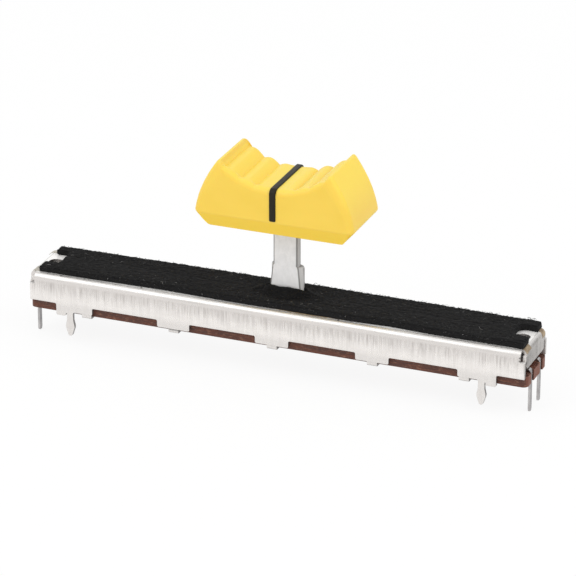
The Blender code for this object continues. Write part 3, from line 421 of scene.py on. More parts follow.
def tin_color(tree, streaks):
    """Painted light and shade by facing on the bends and flat top, a dull line by the felt and streaks below,
    a lighter lower wall, flaps in painted shade, dark cut edges and painted shade low down.
    """
    x, y, z = place_of(tree)
    along, _, up = facing(tree)
    depth = maths("SUBTRACT", TOP * PER_MM, z)
    drag = ramp(grain(tree, 5.0, (0.04, 1, 1), 4.0, 0.7), 0.46, 0.66, 0.0, 0.5)
    bend = product(ramp(up, 0.1, 0.4), ramp(up, 0.99, 0.93), drag)
    # A thin dull line just outside the felt's front and back edges.
    off = maths("ABSOLUTE", maths("SUBTRACT", maths("ABSOLUTE", y), FELT_EDGE_LINE_Y))
    drawn = product(ramp(off, 0.13, 0.05), ramp(grain(tree, 1.1), 0.45, 0.65, 0.0, 0.5))
    end = maths("SUBTRACT", maths("ABSOLUTE", x), END_X * PER_MM)
    # The end flaps are painted dark, a painted shade and dark painted reflection, mottled and darker towards
    # the front.
    flap = product(ramp(end, -0.5, -0.12), ramp(along, 0.45, 0.9))
    mottle = ramp(grain(tree, 1.5, (1, 1, 0.25), 4.0), 0.35, 0.65)
    mottled = layered(mixed(mottle, (0.24, 0.225, 0.21), (0.44, 0.42, 0.40)),
                   (ramp(y, 1.5, -3.9, 0.0, 0.95), (0.18, 0.17, 0.16)))
    # Dark cut edges of the walls and legs: raw cut steel, darkened further as painted shade and dark
    # reflection of the slits beside them.
    edge = product(ramp(end, -0.55, -0.6), ramp(along, 0.5, 0.8))
    # Painted shade on flat faces low on the cover: the walls' bottom edges, lugs and seats under the board.
    under = product(ramp(depth, 3.0, 3.3), ramp(up, 0.6, 0.8))
    # Darker just under the bend, lighter lower on the wall and a little darker at its foot; then tones by
    # facing that are painted light and shade: the bends darker, the flat top painted light against the felt's
    # shade.
    return layered(mixed(ramp(depth, 1.1, 2.9), (0.715, 0.68, 0.655), (0.895, 0.86, 0.83)),
                   (ramp(depth, 3.7, 4.6), (0.79, 0.76, 0.735)), (ramp(up, 0.3, 0.55), (0.67, 0.655, 0.64)),
                   (ramp(up, 0.76, 0.88), (0.71, 0.69, 0.665)),
                   (ramp(up, 0.93, 0.99), (0.97, 0.955, 0.935)), (bend, (0.44, 0.42, 0.40)),
                   (drawn, (0.50, 0.47, 0.44)), (product(streaks, 0.8), (0.46, 0.43, 0.41)), (flap, mottled),
                   (edge, (0.15, 0.14, 0.135)), (under, (0.34, 0.325, 0.31)))


def tin_plate():
    """Tin-plated sheet, matt on top: streaks drawn down from the bends, cloudy wear, small dark marks, and
    painted shade in the slit at the right end.
    """
    mat, tree, shader = new_material("tin_plate", (0.70, 0.665, 0.635), 0.3, Metallic=0.65)
    depth = maths("SUBTRACT", TOP * PER_MM, place_of(tree)[2])
    streaks = product(ramp(grain(tree, 5.5, (1, 1, 0.05), 4.0, 0.7), 0.42, 0.66), ramp(depth, 0.95, 1.25),
                      ramp(depth, 3.5, 2.0, 0.25, 1.0))
    cloud = ramp(grain(tree, 0.5, (1, 1, 2.4), 4.0, 0.6), 0.4, 0.66)
    # Small dark marks on the front bend, and painted shade in the slit at the right end.
    marks = [(product(spot(tree, at, MARK_RADIUS), 0.8), (0.10, 0.095, 0.09)) for at in DARK_MARKS_AND_SLIT_SHADE]
    color = mixed(product(cloud, 0.22), tin_color(tree, streaks), (0.69, 0.66, 0.635))
    rough = maths("ADD", ramp(cloud, 0, 1, 0.24, 0.34), product(streaks, 0.14))
    paint(shader, layered(color, *marks), rough)
    tree.links.new(ramp(facing(tree)[2], 0.93, 0.99, 0.65, 0.1), shader.inputs["Metallic"])
    lines = maths("ADD", product(streaks, 0.6), grain(tree, 5.0, (0.08, 1, 1)))
    bump(shader, lines, 0.006, 0.8, 0.06)
    return mat


def rolled_steel():
    """Matt rolled strip of the lever, with fine lines along its length, painted light low down, flanges in
    painted shade, and folds and borders painted dark as reflections.
    """
    mat, tree, shader = new_material("rolled_steel", (0.76, 0.75, 0.745), 0.42, Metallic=0.25)
    along = facing(tree)[0]
    _, back, height = place_of(tree)
    lines = grain(tree, 6.0, (1, 1, 0.12))
    mottle = grain(tree, 1.4, (1, 1, 0.6), 4.0, 0.7)
    above = maths("SUBTRACT", height, TOP * PER_MM)
    # The flanges, facing along X, painted in shade, less near the top.
    wide = product(ramp(along, 0.55, 0.85), ramp(above, 5.6, 5.3, 0.75, 0.25))
    # Dark lines where the folds turn and along the back border: painted dark reflections.
    fold = product(ramp(along, 0.3, 0.5), ramp(along, 0.88, 0.76))
    border = product(ramp(back, 0.25, 0.4), ramp(along, 0.8, 0.95))
    # Lighter low down near the felt: painted light against its dark reflection.
    color = layered(mixed(ramp(mottle, 0.35, 0.68), (0.84, 0.83, 0.83), (0.74, 0.735, 0.735)),
                    (ramp(above, 5.5, 1.0, 0.0, 0.7), (0.93, 0.925, 0.92)), (wide, (0.40, 0.395, 0.39)),
                    (product(maths("MAXIMUM", fold, border), 0.85), (0.17, 0.165, 0.16)))
    paint(shader, color, ramp(lines, 0.3, 0.7, 0.36, 0.5))
    bump(shader, maths("ADD", lines, mottle), 0.006, 0.7, 0.06)
    return mat


def tinned_terminal():
    """Hot tin on the solder pins: narrow edges painted bright and wide faces painted dull, a painted
    reflection, with slow ripples.
    """
    mat, tree, shader = new_material("tinned_terminal", (0.60, 0.58, 0.575), 0.28, Metallic=1.0)
    ripple = grain(tree, 1.6, (1, 1, 0.5), 2.0)
    mottled = ramp(ripple, 0.3, 0.7)
    # Wide faces painted dull and narrow edges painted bright by which way they face, a painted reflection,
    # mottled by the ripples.
    wide = mixed(mottled, (0.34, 0.325, 0.325), (0.24, 0.23, 0.23))
    narrow = mixed(mottled, (0.55, 0.535, 0.53), (0.40, 0.385, 0.38))
    color = mixed(ramp(facing(tree)[0], 0.5, 0.8), narrow, wide)
    paint(shader, color, ramp(mottled, 0.0, 1.0, 0.22, 0.38))
    bump(shader, ripple, 0.02, 0.6, 0.06)
    return mat


def spring_bronze():
    """Rolled bronze strip with fine lines along its length."""
    mat, tree, shader = new_material("spring_bronze", (0.72, 0.48, 0.26), 0.34, Metallic=1.0)
    lines = grain(tree, 5.0, (0.1, 1, 1))
    paint(shader, mixed(ramp(lines, 0.3, 0.7), (0.76, 0.51, 0.28), (0.58, 0.36, 0.19)))
    bump(shader, lines, 0.003, 0.6)
    return mat


def printed_film(name, light, dark, roughness, metallic=0.0):
    """Screen-printed paste: the mesh's weave and small pores."""
    mat, tree, shader = new_material(name, light, roughness, Metallic=metallic)
    pores = grain(tree, 7.0, detail=5.0, roughness=0.7)
    paint(shader, mixed(ramp(pores, 0.4, 0.65), light, dark))
    bump(shader, pores, 0.008, 0.7)
    return mat


def paper_phenolic():
    """Brown laminated board: layers and torn paper specks at its sawn edges, a smoother face."""
    mat, tree, shader = new_material("paper_phenolic", (0.135, 0.050, 0.033), 0.6)
    layers = grain(tree, 1.7, (0.22, 0.22, 3.2), 4.0, 0.6)
    specks = ramp(grain(tree, 2.6, (0.45, 0.45, 1.5), 4.0, 0.7), 0.52, 0.68)
    color = layered(mixed(ramp(layers, 0.35, 0.65), (0.056, 0.018, 0.011), (0.132, 0.037, 0.018)),
                    (product(specks, 0.75), (0.27, 0.125, 0.075)),
                    (ramp(facing(tree)[0], 0.5, 0.9, 0.0, 0.45), (0.24, 0.070, 0.035)))
    paint(shader, color, ramp(layers, 0.3, 0.7, 0.5, 0.7))
    bump(shader, maths("ADD", layers, specks), 0.03, 0.6, 0.08)
    return mat


def felt_black():
    """Needled felt: matt black with a short, fuzzy grain and a few paler tufts."""
    mat, tree, shader = new_material("felt_black", (0.013, 0.013, 0.0135), 0.95, Specular_IOR_Level=0.06,
                                     Sheen_Weight=0.05, Sheen_Roughness=0.5)
    lying = grain(tree, 3.4, (0.45, 1, 1), 5.0, 0.75)
    crossing = grain(tree, 6.5, (1, 0.6, 1), 4.0, 0.7)
    slow = ramp(grain(tree, 0.35, (0.4, 1, 1), 2.0), 0.3, 0.7, 0.0, 0.5)
    tone = ramp(product(lying, crossing), 0.18, 0.44)
    paint(shader, layered(mixed(tone, (0.0035, 0.0035, 0.0037), (0.024, 0.0235, 0.024)),
                          (slow, (0.006, 0.006, 0.0063)),
                          (ramp(facing(tree)[2], 0.3, 0.8, 0.55, 0.0), (0.020, 0.0195, 0.020))))
    bump(shader, maths("ADD", lying, crossing), 0.07, 0.8)
    return mat


def felt_fibre():
    """Loose fibres, each with its own tone kept in the mesh."""
    mat, tree, shader = new_material("felt_fibre", (0.03, 0.03, 0.031), 0.7, Specular_IOR_Level=0.2)
    mottled = product(attribute(tree, "tone"), ramp(grain(tree, 6.0), 0.3, 0.7, 0.75, 1.1))
    paint(shader, mixed(mottled, (0.0, 0.0, 0.0), (1.0, 0.98, 0.97)))
    return mat


def aged_adhesive():
    """Tape adhesive: pale and dry at the left end, brown and dirty at the right."""
    mat, tree, shader = new_material("aged_adhesive", (0.46, 0.36, 0.23), 0.5)
    patch = ramp(grain(tree, 1.3, detail=4.0), 0.35, 0.65)
    right = mixed(patch, (0.40, 0.30, 0.18), (0.22, 0.155, 0.09))
    left = mixed(patch, (0.56, 0.53, 0.46), (0.36, 0.33, 0.27))
    paint(shader, mixed(ramp(place_of(tree)[0], -20.0, 0.0), left, right))
    bump(shader, patch, 0.03, 0.6)
    return mat


def moulded_acetal():
    """Natural white moulding with slow clouds from its flow."""
    mat, tree, shader = new_material("moulded_acetal", (0.72, 0.71, 0.67), 0.42, Subsurface_Weight=0.1,
                                     Subsurface_Scale=0.4 * MM)
    flow = grain(tree, 0.9, (1, 2, 1))
    paint(shader, mixed(flow, (0.76, 0.75, 0.71), (0.66, 0.65, 0.60)))
    bump(shader, grain(tree, 5.0), 0.006, 0.6)
    return mat


def knob_yellow():
    """Satin moulded plastic with a fine spark-eroded grain, slow changes of tone from its flow, painted light
    on its top and peak slopes, painted shade below its waist and in its valleys.
    """
    mat, tree, shader = new_material("knob_yellow", (0.93, 0.645, 0.085), 0.42, Subsurface_Weight=0.12,
                                     Subsurface_Radius=(1.0, 0.55, 0.1), Subsurface_Scale=0.5 * MM)
    along, _, up = facing(tree)
    flow = ramp(grain(tree, 0.16, (1, 1, 1.6), 2.0), 0.3, 0.7)
    # Slopes by the peaks, facing along X and up: painted light.
    slope = product(ramp(along, 0.3, 0.6), ramp(up, 0.25, 0.5))
    waist = (knob_low.z + KNOB_WAIST_HEIGHT) * PER_MM
    color = layered(mixed(flow, (0.905, 0.625, 0.078), (0.875, 0.598, 0.066)),
                    # Faces that look up painted light, and the slopes by the peaks painted light.
                    (ramp(up, 0.5, 0.95), (0.92, 0.70, 0.095)), (slope, (0.93, 0.68, 0.070)),
                    # Below the waist, darker and more orange: painted shade.
                    (ramp(place_of(tree)[2], waist, waist - 0.3, 0.0, 0.8), (0.92, 0.62, 0.035)),
                    # Painted shade in the valleys, for light bounced between the ridges.
                    (product(attribute(tree, "valley"), 0.5), (0.92, 0.58, 0.045)))
    fine = grain(tree, 11.0)
    paint(shader, color, ramp(fine, 0.3, 0.7, 0.36, 0.48))
    bump(shader, fine, 0.004, 0.6)
    return mat


def line_black():
    """Semi-gloss black plastic with fine drag marks along its length."""
    mat, tree, shader = new_material("line_black", (0.018, 0.016, 0.012), 0.42, Specular_IOR_Level=0.18)
    drag = grain(tree, 5.0, (1, 0.15, 0.15))
    color = mixed(drag, (0.011, 0.009, 0.005), (0.026, 0.022, 0.012))
    paint(shader, color, ramp(drag, 0.3, 0.7, 0.36, 0.5))
    bump(shader, drag, 0.004, 0.6)
    return mat


# Cover

def left_flap_out(bm):
    """Moves the left flap and its bend out, and leaves the walls beside it."""
    for vert in bm.verts:
        limit = FLAP_HALF_WIDTH if vert.co.z > TOP - CORNER_RELIEF_DEPTH + 0.01 * MM else EAR_HALF_WIDTH
        if vert.co.x < FLAP_BEND_RADIUS - END_X - 0.005 * MM and abs(vert.co.y) < limit:
            vert.co.x -= LEFT_FLAP_OUT


def merged_copy(node_name, name, mat, body, smooth, shape=None):
    """A CAD node's own shape with its loose triangles merged, shaded smooth over its bends."""
    bm = bmesh_of(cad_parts[node_name].data)
    bmesh.ops.remove_doubles(bm, verts=bm.verts, dist=1e-6)
    bmesh.ops.dissolve_limit(bm, angle_limit=math.radians(0.5), verts=bm.verts, edges=bm.edges)
    if shape:
        shape(bm)
    obj = piece(name, bm, mat, body, smooth)
    weigh_normals(obj)
    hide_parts(node_name)


# Felt strip

def felt_outline(margin):
    """The strip's outline grown all round by margin, with a rounded notch at each end."""
    half_length, half_width = felt_high.x + margin, felt_high.y + margin
    ends = []
    for is_right in (False, True):
        length, low, high, radius = FELT_NOTCHES[is_right]
        notch_x, low, high = felt_high.x - length + margin, low + margin, high - margin
        ends.append([(half_length, -half_width, 0), (half_length, low, 0), (notch_x, low, radius),
                     (notch_x, high, radius), (half_length, high, 0), (half_length, half_width, 0)])
    left = [(-x, y, r) for x, y, r in reversed(ends[0])]
    return rounded(left[-1:] + ends[1] + left[:-1], 8)


def hump(x, middle, reach):
    """A smooth hump of height 1 round a middle, in metres."""
    return math.exp(-((x - middle) / reach) ** 2)


def slit_y(x):
    """Where the closed slit runs: off the middle towards the left end."""
    at = x * PER_MM
    return SLIT_SHIFT * ease(6.0, 30.0, -at) + SLIT_WANDER * noise.noise((at * 0.21, 3.0, 0.0))


def front_edge(x):
    """How far the strip's front edge is drawn in along its length."""
    return FRONT_DRAW_IN * (hump(x, -18 * MM, 8 * MM) + hump(x, 17.5 * MM, 4 * MM))


def felt_end_shift(place):
    """The strip's front arm stops a little short at the left end, and its right end hangs over the bend."""
    x, y = place.x * PER_MM, place.y * PER_MM
    cut_back = LEFT_ARM_CUT * ease(-35.0, -36.7, x) * ease(-0.8, -2.6, y)
    over = ease(35.6, 36.7, x)
    return Vector((cut_back + RIGHT_OVERHANG * over, 0, -RIGHT_SAG * over * over))


def felt_swell(x):
    """How much thicker the strip is than its ends, most to the right of the middle."""
    at = x * PER_MM
    return MIDDLE_SWELL * ease(-34, -5, at) - RIGHT_THINNING * ease(22, 32, at)


def felt_top(x):
    """The height of the strip's top along its length."""
    return felt_high.z + felt_swell(x)


def ragged(at, rags):
    """Noise of several sizes, each given as lumps to the millimetre and height."""
    return sum(noise.noise(at * lumps) * height for lumps, height in rags)


def felt_body():
    """The strip as one fine mesh, softened and shaped."""
    bm = bmesh.new()
    heights = (felt_low.z - FELT_SETTLING, felt_high.z)
    skin(bm, [ring(bm, [(x, y, z) for x, y in felt_outline(0.0)]) for z in heights])
    felt = piece("felt_strip", bm, felt_black(), "housing", 60)
    remesh = felt.modifiers.new("fine", "REMESH")
    remesh.mode = "VOXEL"
    remesh.voxel_size = FELT_VOXEL
    apply_modifiers(felt)
    bm = bmesh_of(felt.data)
    for _ in range(FELT_SOFTENING):
        bmesh.ops.smooth_vert(bm, verts=bm.verts, factor=0.5, use_axis_x=True, use_axis_y=True,
                              use_axis_z=True)
    bm.normal_update()
    for vert in bm.verts:
        shape_felt(vert)
    bm.to_mesh(felt.data)
    bm.free()
    felt.data.shade_smooth()
    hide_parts("dust_felt")
    return felt


def shape_felt(vert):
    """Moves one point of the felt: ragged edges, a fuzzy top, and the closed slit."""
    place, normal = vert.co.copy(), vert.normal.copy()
    at = place * PER_MM
    sideways = 1 - abs(normal.z)
    vert.co += Vector((normal.x, normal.y, 0)) * ragged(at, EDGE_RAGS) * sideways
    vert.co.y += front_edge(place.x) * ease(-felt_high.y + 1.6 * MM, -felt_high.y, place.y)
    vert.co += felt_end_shift(place)
    if normal.z > 0.3:
        for along, across, seed, height in TOP_RAGS:
            vert.co.z += noise.noise((at.x * along, at.y * across, seed)) * height
        vert.co.z += felt_swell(place.x)
        off = abs(place.y - slit_y(place.x)) / SLIT_HALF_WIDTH
        if off < 1 and abs(place.x) < SLIT_HALF_LENGTH:
            vert.co.z -= SLIT_DEPTH * (1 - off) ** 2


def lip_rise(x):
    """Height of the parted felt over the strip at a distance x along it from the lever's middle."""
    half = lever_high.x - SLIDER_X
    uneven = 1 + 0.12 * noise.noise((x * PER_MM * 0.7, 5.0, 0.0))
    return LIP_RISE * uneven * (ease(LIP_REACH, half * 0.6, abs(x)) ** 1.4)


def lip_opening(x):
    """How open the lips are, 1 at the lever's middle: they close a little beyond its flanges."""
    return math.sqrt(max(0.0, 1 - (x / (lever_high.x - SLIDER_X + 0.75 * MM)) ** 2))


def lip_gap(x):
    """Half of the gap between the lips, which bear on the lever."""
    return (lever_high.y + 0.05 * MM) * lip_opening(x) + 0.02 * MM


def lip_round(x):
    """How much of the lips' full rounding they have: little where they meet."""
    return 0.15 + 0.85 * lip_opening(x)


def lip_surface(x, t):
    """A point of a lip's upper side, t from 0 at its foot to 1 at its crest, as (y, z)."""
    crest, base = lip_gap(x) + LIP_CREST * lip_round(x), felt_top(SLIDER_X) - LIP_SUNK
    foot = LIP_HALF_WIDTH * (0.55 + 0.45 * ease(LIP_REACH, 0, abs(x)))
    return foot + (crest - foot) * t, base + (lip_rise(x) + LIP_SUNK) * (t ** 1.5) * (1.3 - 0.3 * t)


def lip_section(x, hand):
    """One lip across the strip, from its outer foot over its crest and down beside the lever, in (y, z)."""
    points = [lip_surface(x, i / LIP_STEPS) for i in range(LIP_STEPS + 1)]
    gap, top, foot, size = lip_gap(x), points[-1][1], felt_low.z + 0.2 * MM, lip_round(x) * MM
    points += [(gap + out * size, top + up * size) for out, up in LIP_ROUNDING]
    points += [(gap, foot), (points[0][0], foot)]
    return [(hand * y, z) for y, z in points]


def felt_lips(mat):
    """The felt that the lever parts and pushes up, which travels with it."""
    bm = bmesh.new()
    for hand in (-1, 1):
        rings = []
        for i in range(LIP_STATIONS + 1):
            x = LIP_REACH * (2 * i / LIP_STATIONS - 1)
            rings.append(ring(bm, [(SLIDER_X + x, y, z) for y, z in lip_section(x, hand)]))
        skin(bm, rings)
    bmesh.ops.recalc_face_normals(bm, faces=bm.faces)
    bm.normal_update()
    for vert in bm.verts:
        if vert.co.z > felt_high.z:
            vert.co += vert.normal * ragged(vert.co * PER_MM, LIP_RAGS)
    piece("felt_lips", bm, mat, "slider", 80)


# Fibres

# Pale flecks from the photograph: x, y and length in millimetres, and tone
FLECKS = ((-29.6, 2.0, 0.45, 0.22), (-20.8, 1.7, 0.4, 0.13), (-17.8, 0.9, 0.35, 0.10),
          (-14.2, 0.5, 0.4, 0.20), (-12.9, 2.8, 0.7, 0.24), (-10.6, 0.1, 0.4, 0.22), (4.8, -2.8, 0.6, 0.32),
          (11.5, -1.1, 0.4, 0.12), (14.5, 2.5, 0.8, 0.12), (19.2, 0.6, 0.4, 0.24))

# Pale lint caught at the strip's back edge: x, y, height over the strip and radius in millimetres, start
# and end of its turn in degrees, and tone
LINT_CURLS = (
    ((35.2 * MM, 4.0 * MM, felt_high.z + 0.12 * MM), 0.30 * MM, 200, 500, 0.03),
    ((36.0 * MM, 3.9 * MM, felt_high.z + 0.10 * MM), 0.32 * MM, 20, 330, 0.05),
    ((3.3 * MM, 3.9 * MM, felt_top(3.3 * MM) + 0.06 * MM), 0.26 * MM, 20, 170, 0.35),
    ((4.3 * MM, 3.8 * MM, felt_top(4.3 * MM)), 0.26 * MM, 160, 330, 0.35),
    ((29.6 * MM, 3.9 * MM, felt_high.z + 0.02 * MM), 0.3 * MM, 10, 150, 0.2),
)
CURL_STEPS = 16


def wandering(start, heading, length, curl, lift, rng):
    """Points of a fibre that lies on the felt: it wanders by curl and rises by lift at its middle."""
    points, place = [], Vector(start)
    for i in range(FIBRE_POINTS):
        rise = lift * math.sin(math.pi * i / (FIBRE_POINTS - 1))
        points.append(Vector((place.x, place.y, place.z + rise)))
        heading += rng.uniform(-curl, curl)
        place += Vector((math.cos(heading), math.sin(heading), 0)) * length / (FIBRE_POINTS - 1)
    return points


def fibre_tone(rng):
    """Mostly black, some grey, a few pale."""
    draw = rng.random()
    if draw < 0.82:
        return rng.uniform(0.006, 0.040)
    if draw < 0.97:
        return rng.uniform(0.04, 0.11)
    return rng.uniform(0.15, 0.35)


def bodies(bm):
    """The separate bodies of a mesh, each a list of its points, in the order in which they were made."""
    seen, found = set(), []
    for start in bm.verts:
        if start in seen:
            continue
        seen.add(start)
        body = [start]
        for vert in body:
            for edge in vert.link_edges:
                other = edge.other_vert(vert)
                if other not in seen:
                    seen.add(other)
                    body.append(other)
        found.append(body)
    return found


def fibre_piece(name, fibres, body, mat):
    """Thin capped strands, each a list of points, a radius and a tone that is kept in the mesh."""
    curve = bpy.data.curves.new(name, "CURVE")
    curve.dimensions = "3D"
    curve.bevel_depth = 1.0
    curve.bevel_resolution = 0
    curve.use_fill_caps = True
    for points, radius, _ in fibres:
        spline = curve.splines.new("POLY")
        spline.points.add(len(points) - 1)
        for i, (point, place) in enumerate(zip(spline.points, points)):
            point.co = (*place, 1.0)
            point.radius = radius * (0.55 if i in (0, len(points) - 1) else 1.0)
    helper = add(name + "_curve", curve)
    bm = bmesh_of(evaluated_mesh(helper))
    bpy.data.objects.remove(helper)
    bmesh.ops.remove_doubles(bm, verts=bm.verts, dist=1e-8)
    tones = bm.verts.layers.float.new("tone")
    for strand, (_, _, tone) in zip(bodies(bm), fibres):
        for vert in strand:
            vert[tones] = tone
    piece(name, bm, mat, body, 80)


def in_notch(x, y):
    """Whether a place on the strip is in one of its notches."""
    length, low, high, _ = FELT_NOTCHES[x > 0]
    return abs(x) > felt_high.x - length - 0.1 * MM and low < y < high


def in_path(points):
    """Whether a fibre would lie in the way of the lever's travel."""
    return any(abs(p.y) < lever_high.y + 0.1 * MM and abs(p.x) < SLIT_HALF_LENGTH + 2 * MM for p in points)


def top_fibre(rng):
    """A loose fibre on the strip's top, or None where one would lie in a notch or in the lever's way."""
    x = rng.uniform(-felt_high.x + 1.2 * MM, felt_high.x - 1.2 * MM)
    y = rng.uniform(felt_low.y + 0.3 * MM, felt_high.y - 0.15 * MM)
    if in_notch(x, y):
        return None
    heading = rng.gauss(0.0, 0.8) + (math.pi if rng.random() < 0.5 else 0.0)
    points = wandering((x, y, felt_top(x) + 0.02 * MM), heading, rng.uniform(0.2, 0.75) * MM,
                       0.45, rng.uniform(0.0, 0.10) * MM, rng)
    return None if in_path(points) else (points, FIBRE_RADIUS * rng.uniform(0.7, 1.3), fibre_tone(rng))


def edge_fibre(rng):
    """A loose fibre that stands out of the strip's front or back edge."""
    hand = rng.choice((-1, 1))
    x = rng.uniform(-felt_high.x, felt_high.x)
    z = rng.uniform(felt_low.z + 0.3 * MM, felt_top(x))
    heading = hand * math.pi / 2 + rng.gauss(0.0, 0.9)
    edge = felt_high.y - 0.12 * MM - (front_edge(x) if hand < 0 else 0.0)
    points = wandering((x, hand * edge, z), heading, rng.uniform(0.2, 0.55) * MM,
                       0.6, rng.uniform(-0.05, 0.12) * MM, rng)
    return points, FIBRE_RADIUS * 1.8, rng.uniform(0.006, 0.05)


def felt_fibres(mat):
    """Loose fibres on the strip's top and along its edges, and lint caught on it."""
    rng = random.Random(11)
    fibres = []
    while len(fibres) < FIBRE_COUNT:
        fibre = top_fibre(rng)
        if fibre:
            fibres.append(fibre)
    fibres += [edge_fibre(rng) for _ in range(EDGE_FIBRE_COUNT)]
    for x, y, length, tone in FLECKS:
        place = (x * MM, y * MM, felt_top(x * MM) + 0.05 * MM)
        points = wandering(place, rng.uniform(-0.4, 0.7), length * MM, 0.5, 0.08 * MM, rng)
        if not in_path(points):
            fibres.append((points, FIBRE_RADIUS * 3.2, tone))
    fibres += [(curl_points(*curl), FIBRE_RADIUS * 2.2, tone) for *curl, tone in LINT_CURLS]
    fibre_piece("felt_fibres", fibres, "housing", mat)


def lip_fibres(mat):
    """Loose fibres on the parted felt, which travel with the lever."""
    rng = random.Random(23)
    fibres = []
    for _ in range(LIP_FIBRE_COUNT):
        x, t, hand = rng.uniform(-0.85, 0.85) * LIP_REACH, rng.uniform(0.1, 1.0), rng.choice((-1, 1))
        y, z = lip_surface(x, t)
        heading = rng.gauss(0.0, 1.0)
        points = wandering((SLIDER_X + x, hand * y, z + 0.03 * MM), heading, rng.uniform(0.3, 0.8) * MM,
                           0.5, rng.uniform(0.02, 0.12) * MM, rng)
        fibres.append((points, FIBRE_RADIUS * rng.uniform(0.8, 1.3), rng.uniform(0.006, 0.04)))
    fibre_piece("lip_fibres", fibres, "slider", mat)


def curl_points(place, radius, start, end):
    """A loop of lint that stands on the strip, in a plane across the view."""
    x, y, z = place
    turned = arc((0.0, 0.0), radius, start, end, CURL_STEPS)
    return [Vector((x + a, y + a * 0.2, z + b)) for a, b in turned]


# Adhesive film

def film_edge(vert):
    """Stretches the film out over the end bends, and moves its front edge just past the felt's."""
    x, y = vert.co.x, vert.co.y
    wander = noise.noise((x * PER_MM * 0.9, y * PER_MM * 0.9, 2.0))
    end = felt_high.x - FILM_INSET
    reach = FILM_END_REACH[(x > 0, y > 0)] * (1 + 0.45 * wander)
    stretch = ease(end - FILM_STRETCH, end, abs(x))
    vert.co.x += math.copysign((FILM_INSET + reach) * stretch, x)
    vert.co.y *= 1 + FILM_END_SPREAD * stretch
    if y < -felt_high.y + FILM_INSET + 0.01 * MM:
        vert.co.y -= FILM_FRONT_REACH * hump(x, 5 * MM, 6 * MM) + FILM_RAG * wander - front_edge(x)
        if abs(x) > felt_high.x - FILM_INSET:
            vert.co.y -= FILM_CORNER_OUT


def over_end_bend(vert):
    """Lays a point of the film round the end bend, but for the left end's back, which stands out stiffly."""
    start = END_X - FLAP_BEND_RADIUS + (LEFT_FLAP_OUT if vert.co.x < 0 else 0.0)
    past = abs(vert.co.x) - start
    if past > 0:
        stiff = ease(1.2 * MM, 2.0 * MM, vert.co.y) if vert.co.x < 0 else 0.0
        bend = FLAP_BEND_RADIUS * (1 + FILM_STIFFNESS * stiff)
        angle, radius = past / bend, bend + vert.co.z - TOP
        vert.co.x = math.copysign(start + radius * math.sin(angle), vert.co.x)
        vert.co.z = TOP - bend + radius * math.cos(angle)


def adhesive_film():
    """Adhesive under the felt, which shows past its ends and at the middle of its front edge."""
    bm = bmesh.new()
    made = ring(bm, [(x, y, film_low.z) for x, y in felt_outline(-FILM_INSET)])
    bmesh.ops.edgeloop_fill(bm, edges=made)
    bmesh.ops.triangulate(bm, faces=bm.faces)
    for axis, half, count in zip(((1, 0, 0), (0, 1, 0)), felt_high, FILM_CUTS):
        for i in range(1, count):
            bisect(bm, Vector(axis) * (2 * half * i / count - half), axis)
    for vert in bm.verts:
        film_edge(vert)
    made = bmesh.ops.extrude_face_region(bm, geom=bm.faces[:])
    upper = [v for v in made["geom"] if isinstance(v, bmesh.types.BMVert)]
    bmesh.ops.translate(bm, verts=upper, vec=(0, 0, FILM_THICKNESS))
    for vert in bm.verts:
        over_end_bend(vert)
    film = piece("adhesive_film", bm, aged_adhesive(), "housing", 40)
    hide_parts("felt_adhesive")


# Knob

def groove_nearness(x):
    """1 in the middle of a groove at a distance x from the knob's middle, and 0 halfway between two."""
    phase = (abs(x) - FIRST_GROOVE) / GROOVE_PITCH
    return 0.0 if phase < -0.5 else 1 - 2 * abs(phase - round(phase))


def crown(x, inset, cut):
    """Height of the hollowed, ridged top at a distance x from its middle."""
    half, rise = KNOB_PEAK_HALF, KNOB_PEAK_HEIGHT - KNOB_VALLEY_HEIGHT
    radius = (half * half + rise * rise) / (2 * rise)
    height = KNOB_VALLEY_HEIGHT + radius - math.sqrt(radius * radius - x * x)
    return height - GROOVE_DEPTH * cut * groove_nearness(x) ** 1.7 - inset


def knob_outline(inset, cut):
    """The knob from the front, (x, height over its base), drawn in by inset."""
    base, waist, peak = KNOB_BASE_HALF - inset, KNOB_WAIST_HALF - inset, KNOB_PEAK_HALF - inset
    low, high = KNOB_WAIST_HEIGHT, crown(peak, inset, 0.0)
    face = [(waist + (peak - waist) * t + 4 * KNOB_BULGE * t * (1 - t), low + (high - low) * t, 0)
            for t in (i / 10 for i in range(1, 10))]
    corners = [(0, inset, 0), (base, inset, KNOB_CORNER), (waist, low, KNOB_CORNER)] + face
    corners += [(peak, high, KNOB_PEAK_RADIUS), (0, KNOB_VALLEY_HEIGHT, 0)]
    right = rounded(corners, 6)[1:-1]
    span = peak - KNOB_PEAK_RADIUS
    steps = round(2 * KNOB_PEAK_HALF / CROWN_STEP)
    top = [span - 2 * span * i / steps for i in range(steps + 1)]
    return right + [(x, crown(x, inset, cut)) for x in top] + [(-x, z) for x, z in reversed(right)]


def front_fade(y):
    """How far the grooves are cut at a distance y across: fully, but for the front edge where they fade."""
    faded = 0.6 * ease(FULL_GROOVES, KNOB_EDGE_START, -y)
    return 1 - faded - 0.28 * ease(KNOB_EDGE_START, KNOB_HALF_WIDTH, -y)


def knob_stations():
    """The sections across the knob from front to back: their place and the inset of the outline."""
    turns = [math.pi / 2 * i / KNOB_EDGE_STEPS for i in range(KNOB_EDGE_STEPS + 1)]
    rounding = [(KNOB_EDGE_START + KNOB_EDGE * math.sin(t), KNOB_EDGE * (1 - math.cos(t))) for t in turns]
    step = (KNOB_EDGE_START - FULL_GROOVES) / FADE_STEPS
    stations = [(-y, inset) for y, inset in reversed(rounding)]
    stations += [(step * i - KNOB_EDGE_START, 0.0) for i in range(1, FADE_STEPS + 1)]
    return stations + [(0.0, 0.0)] + rounding


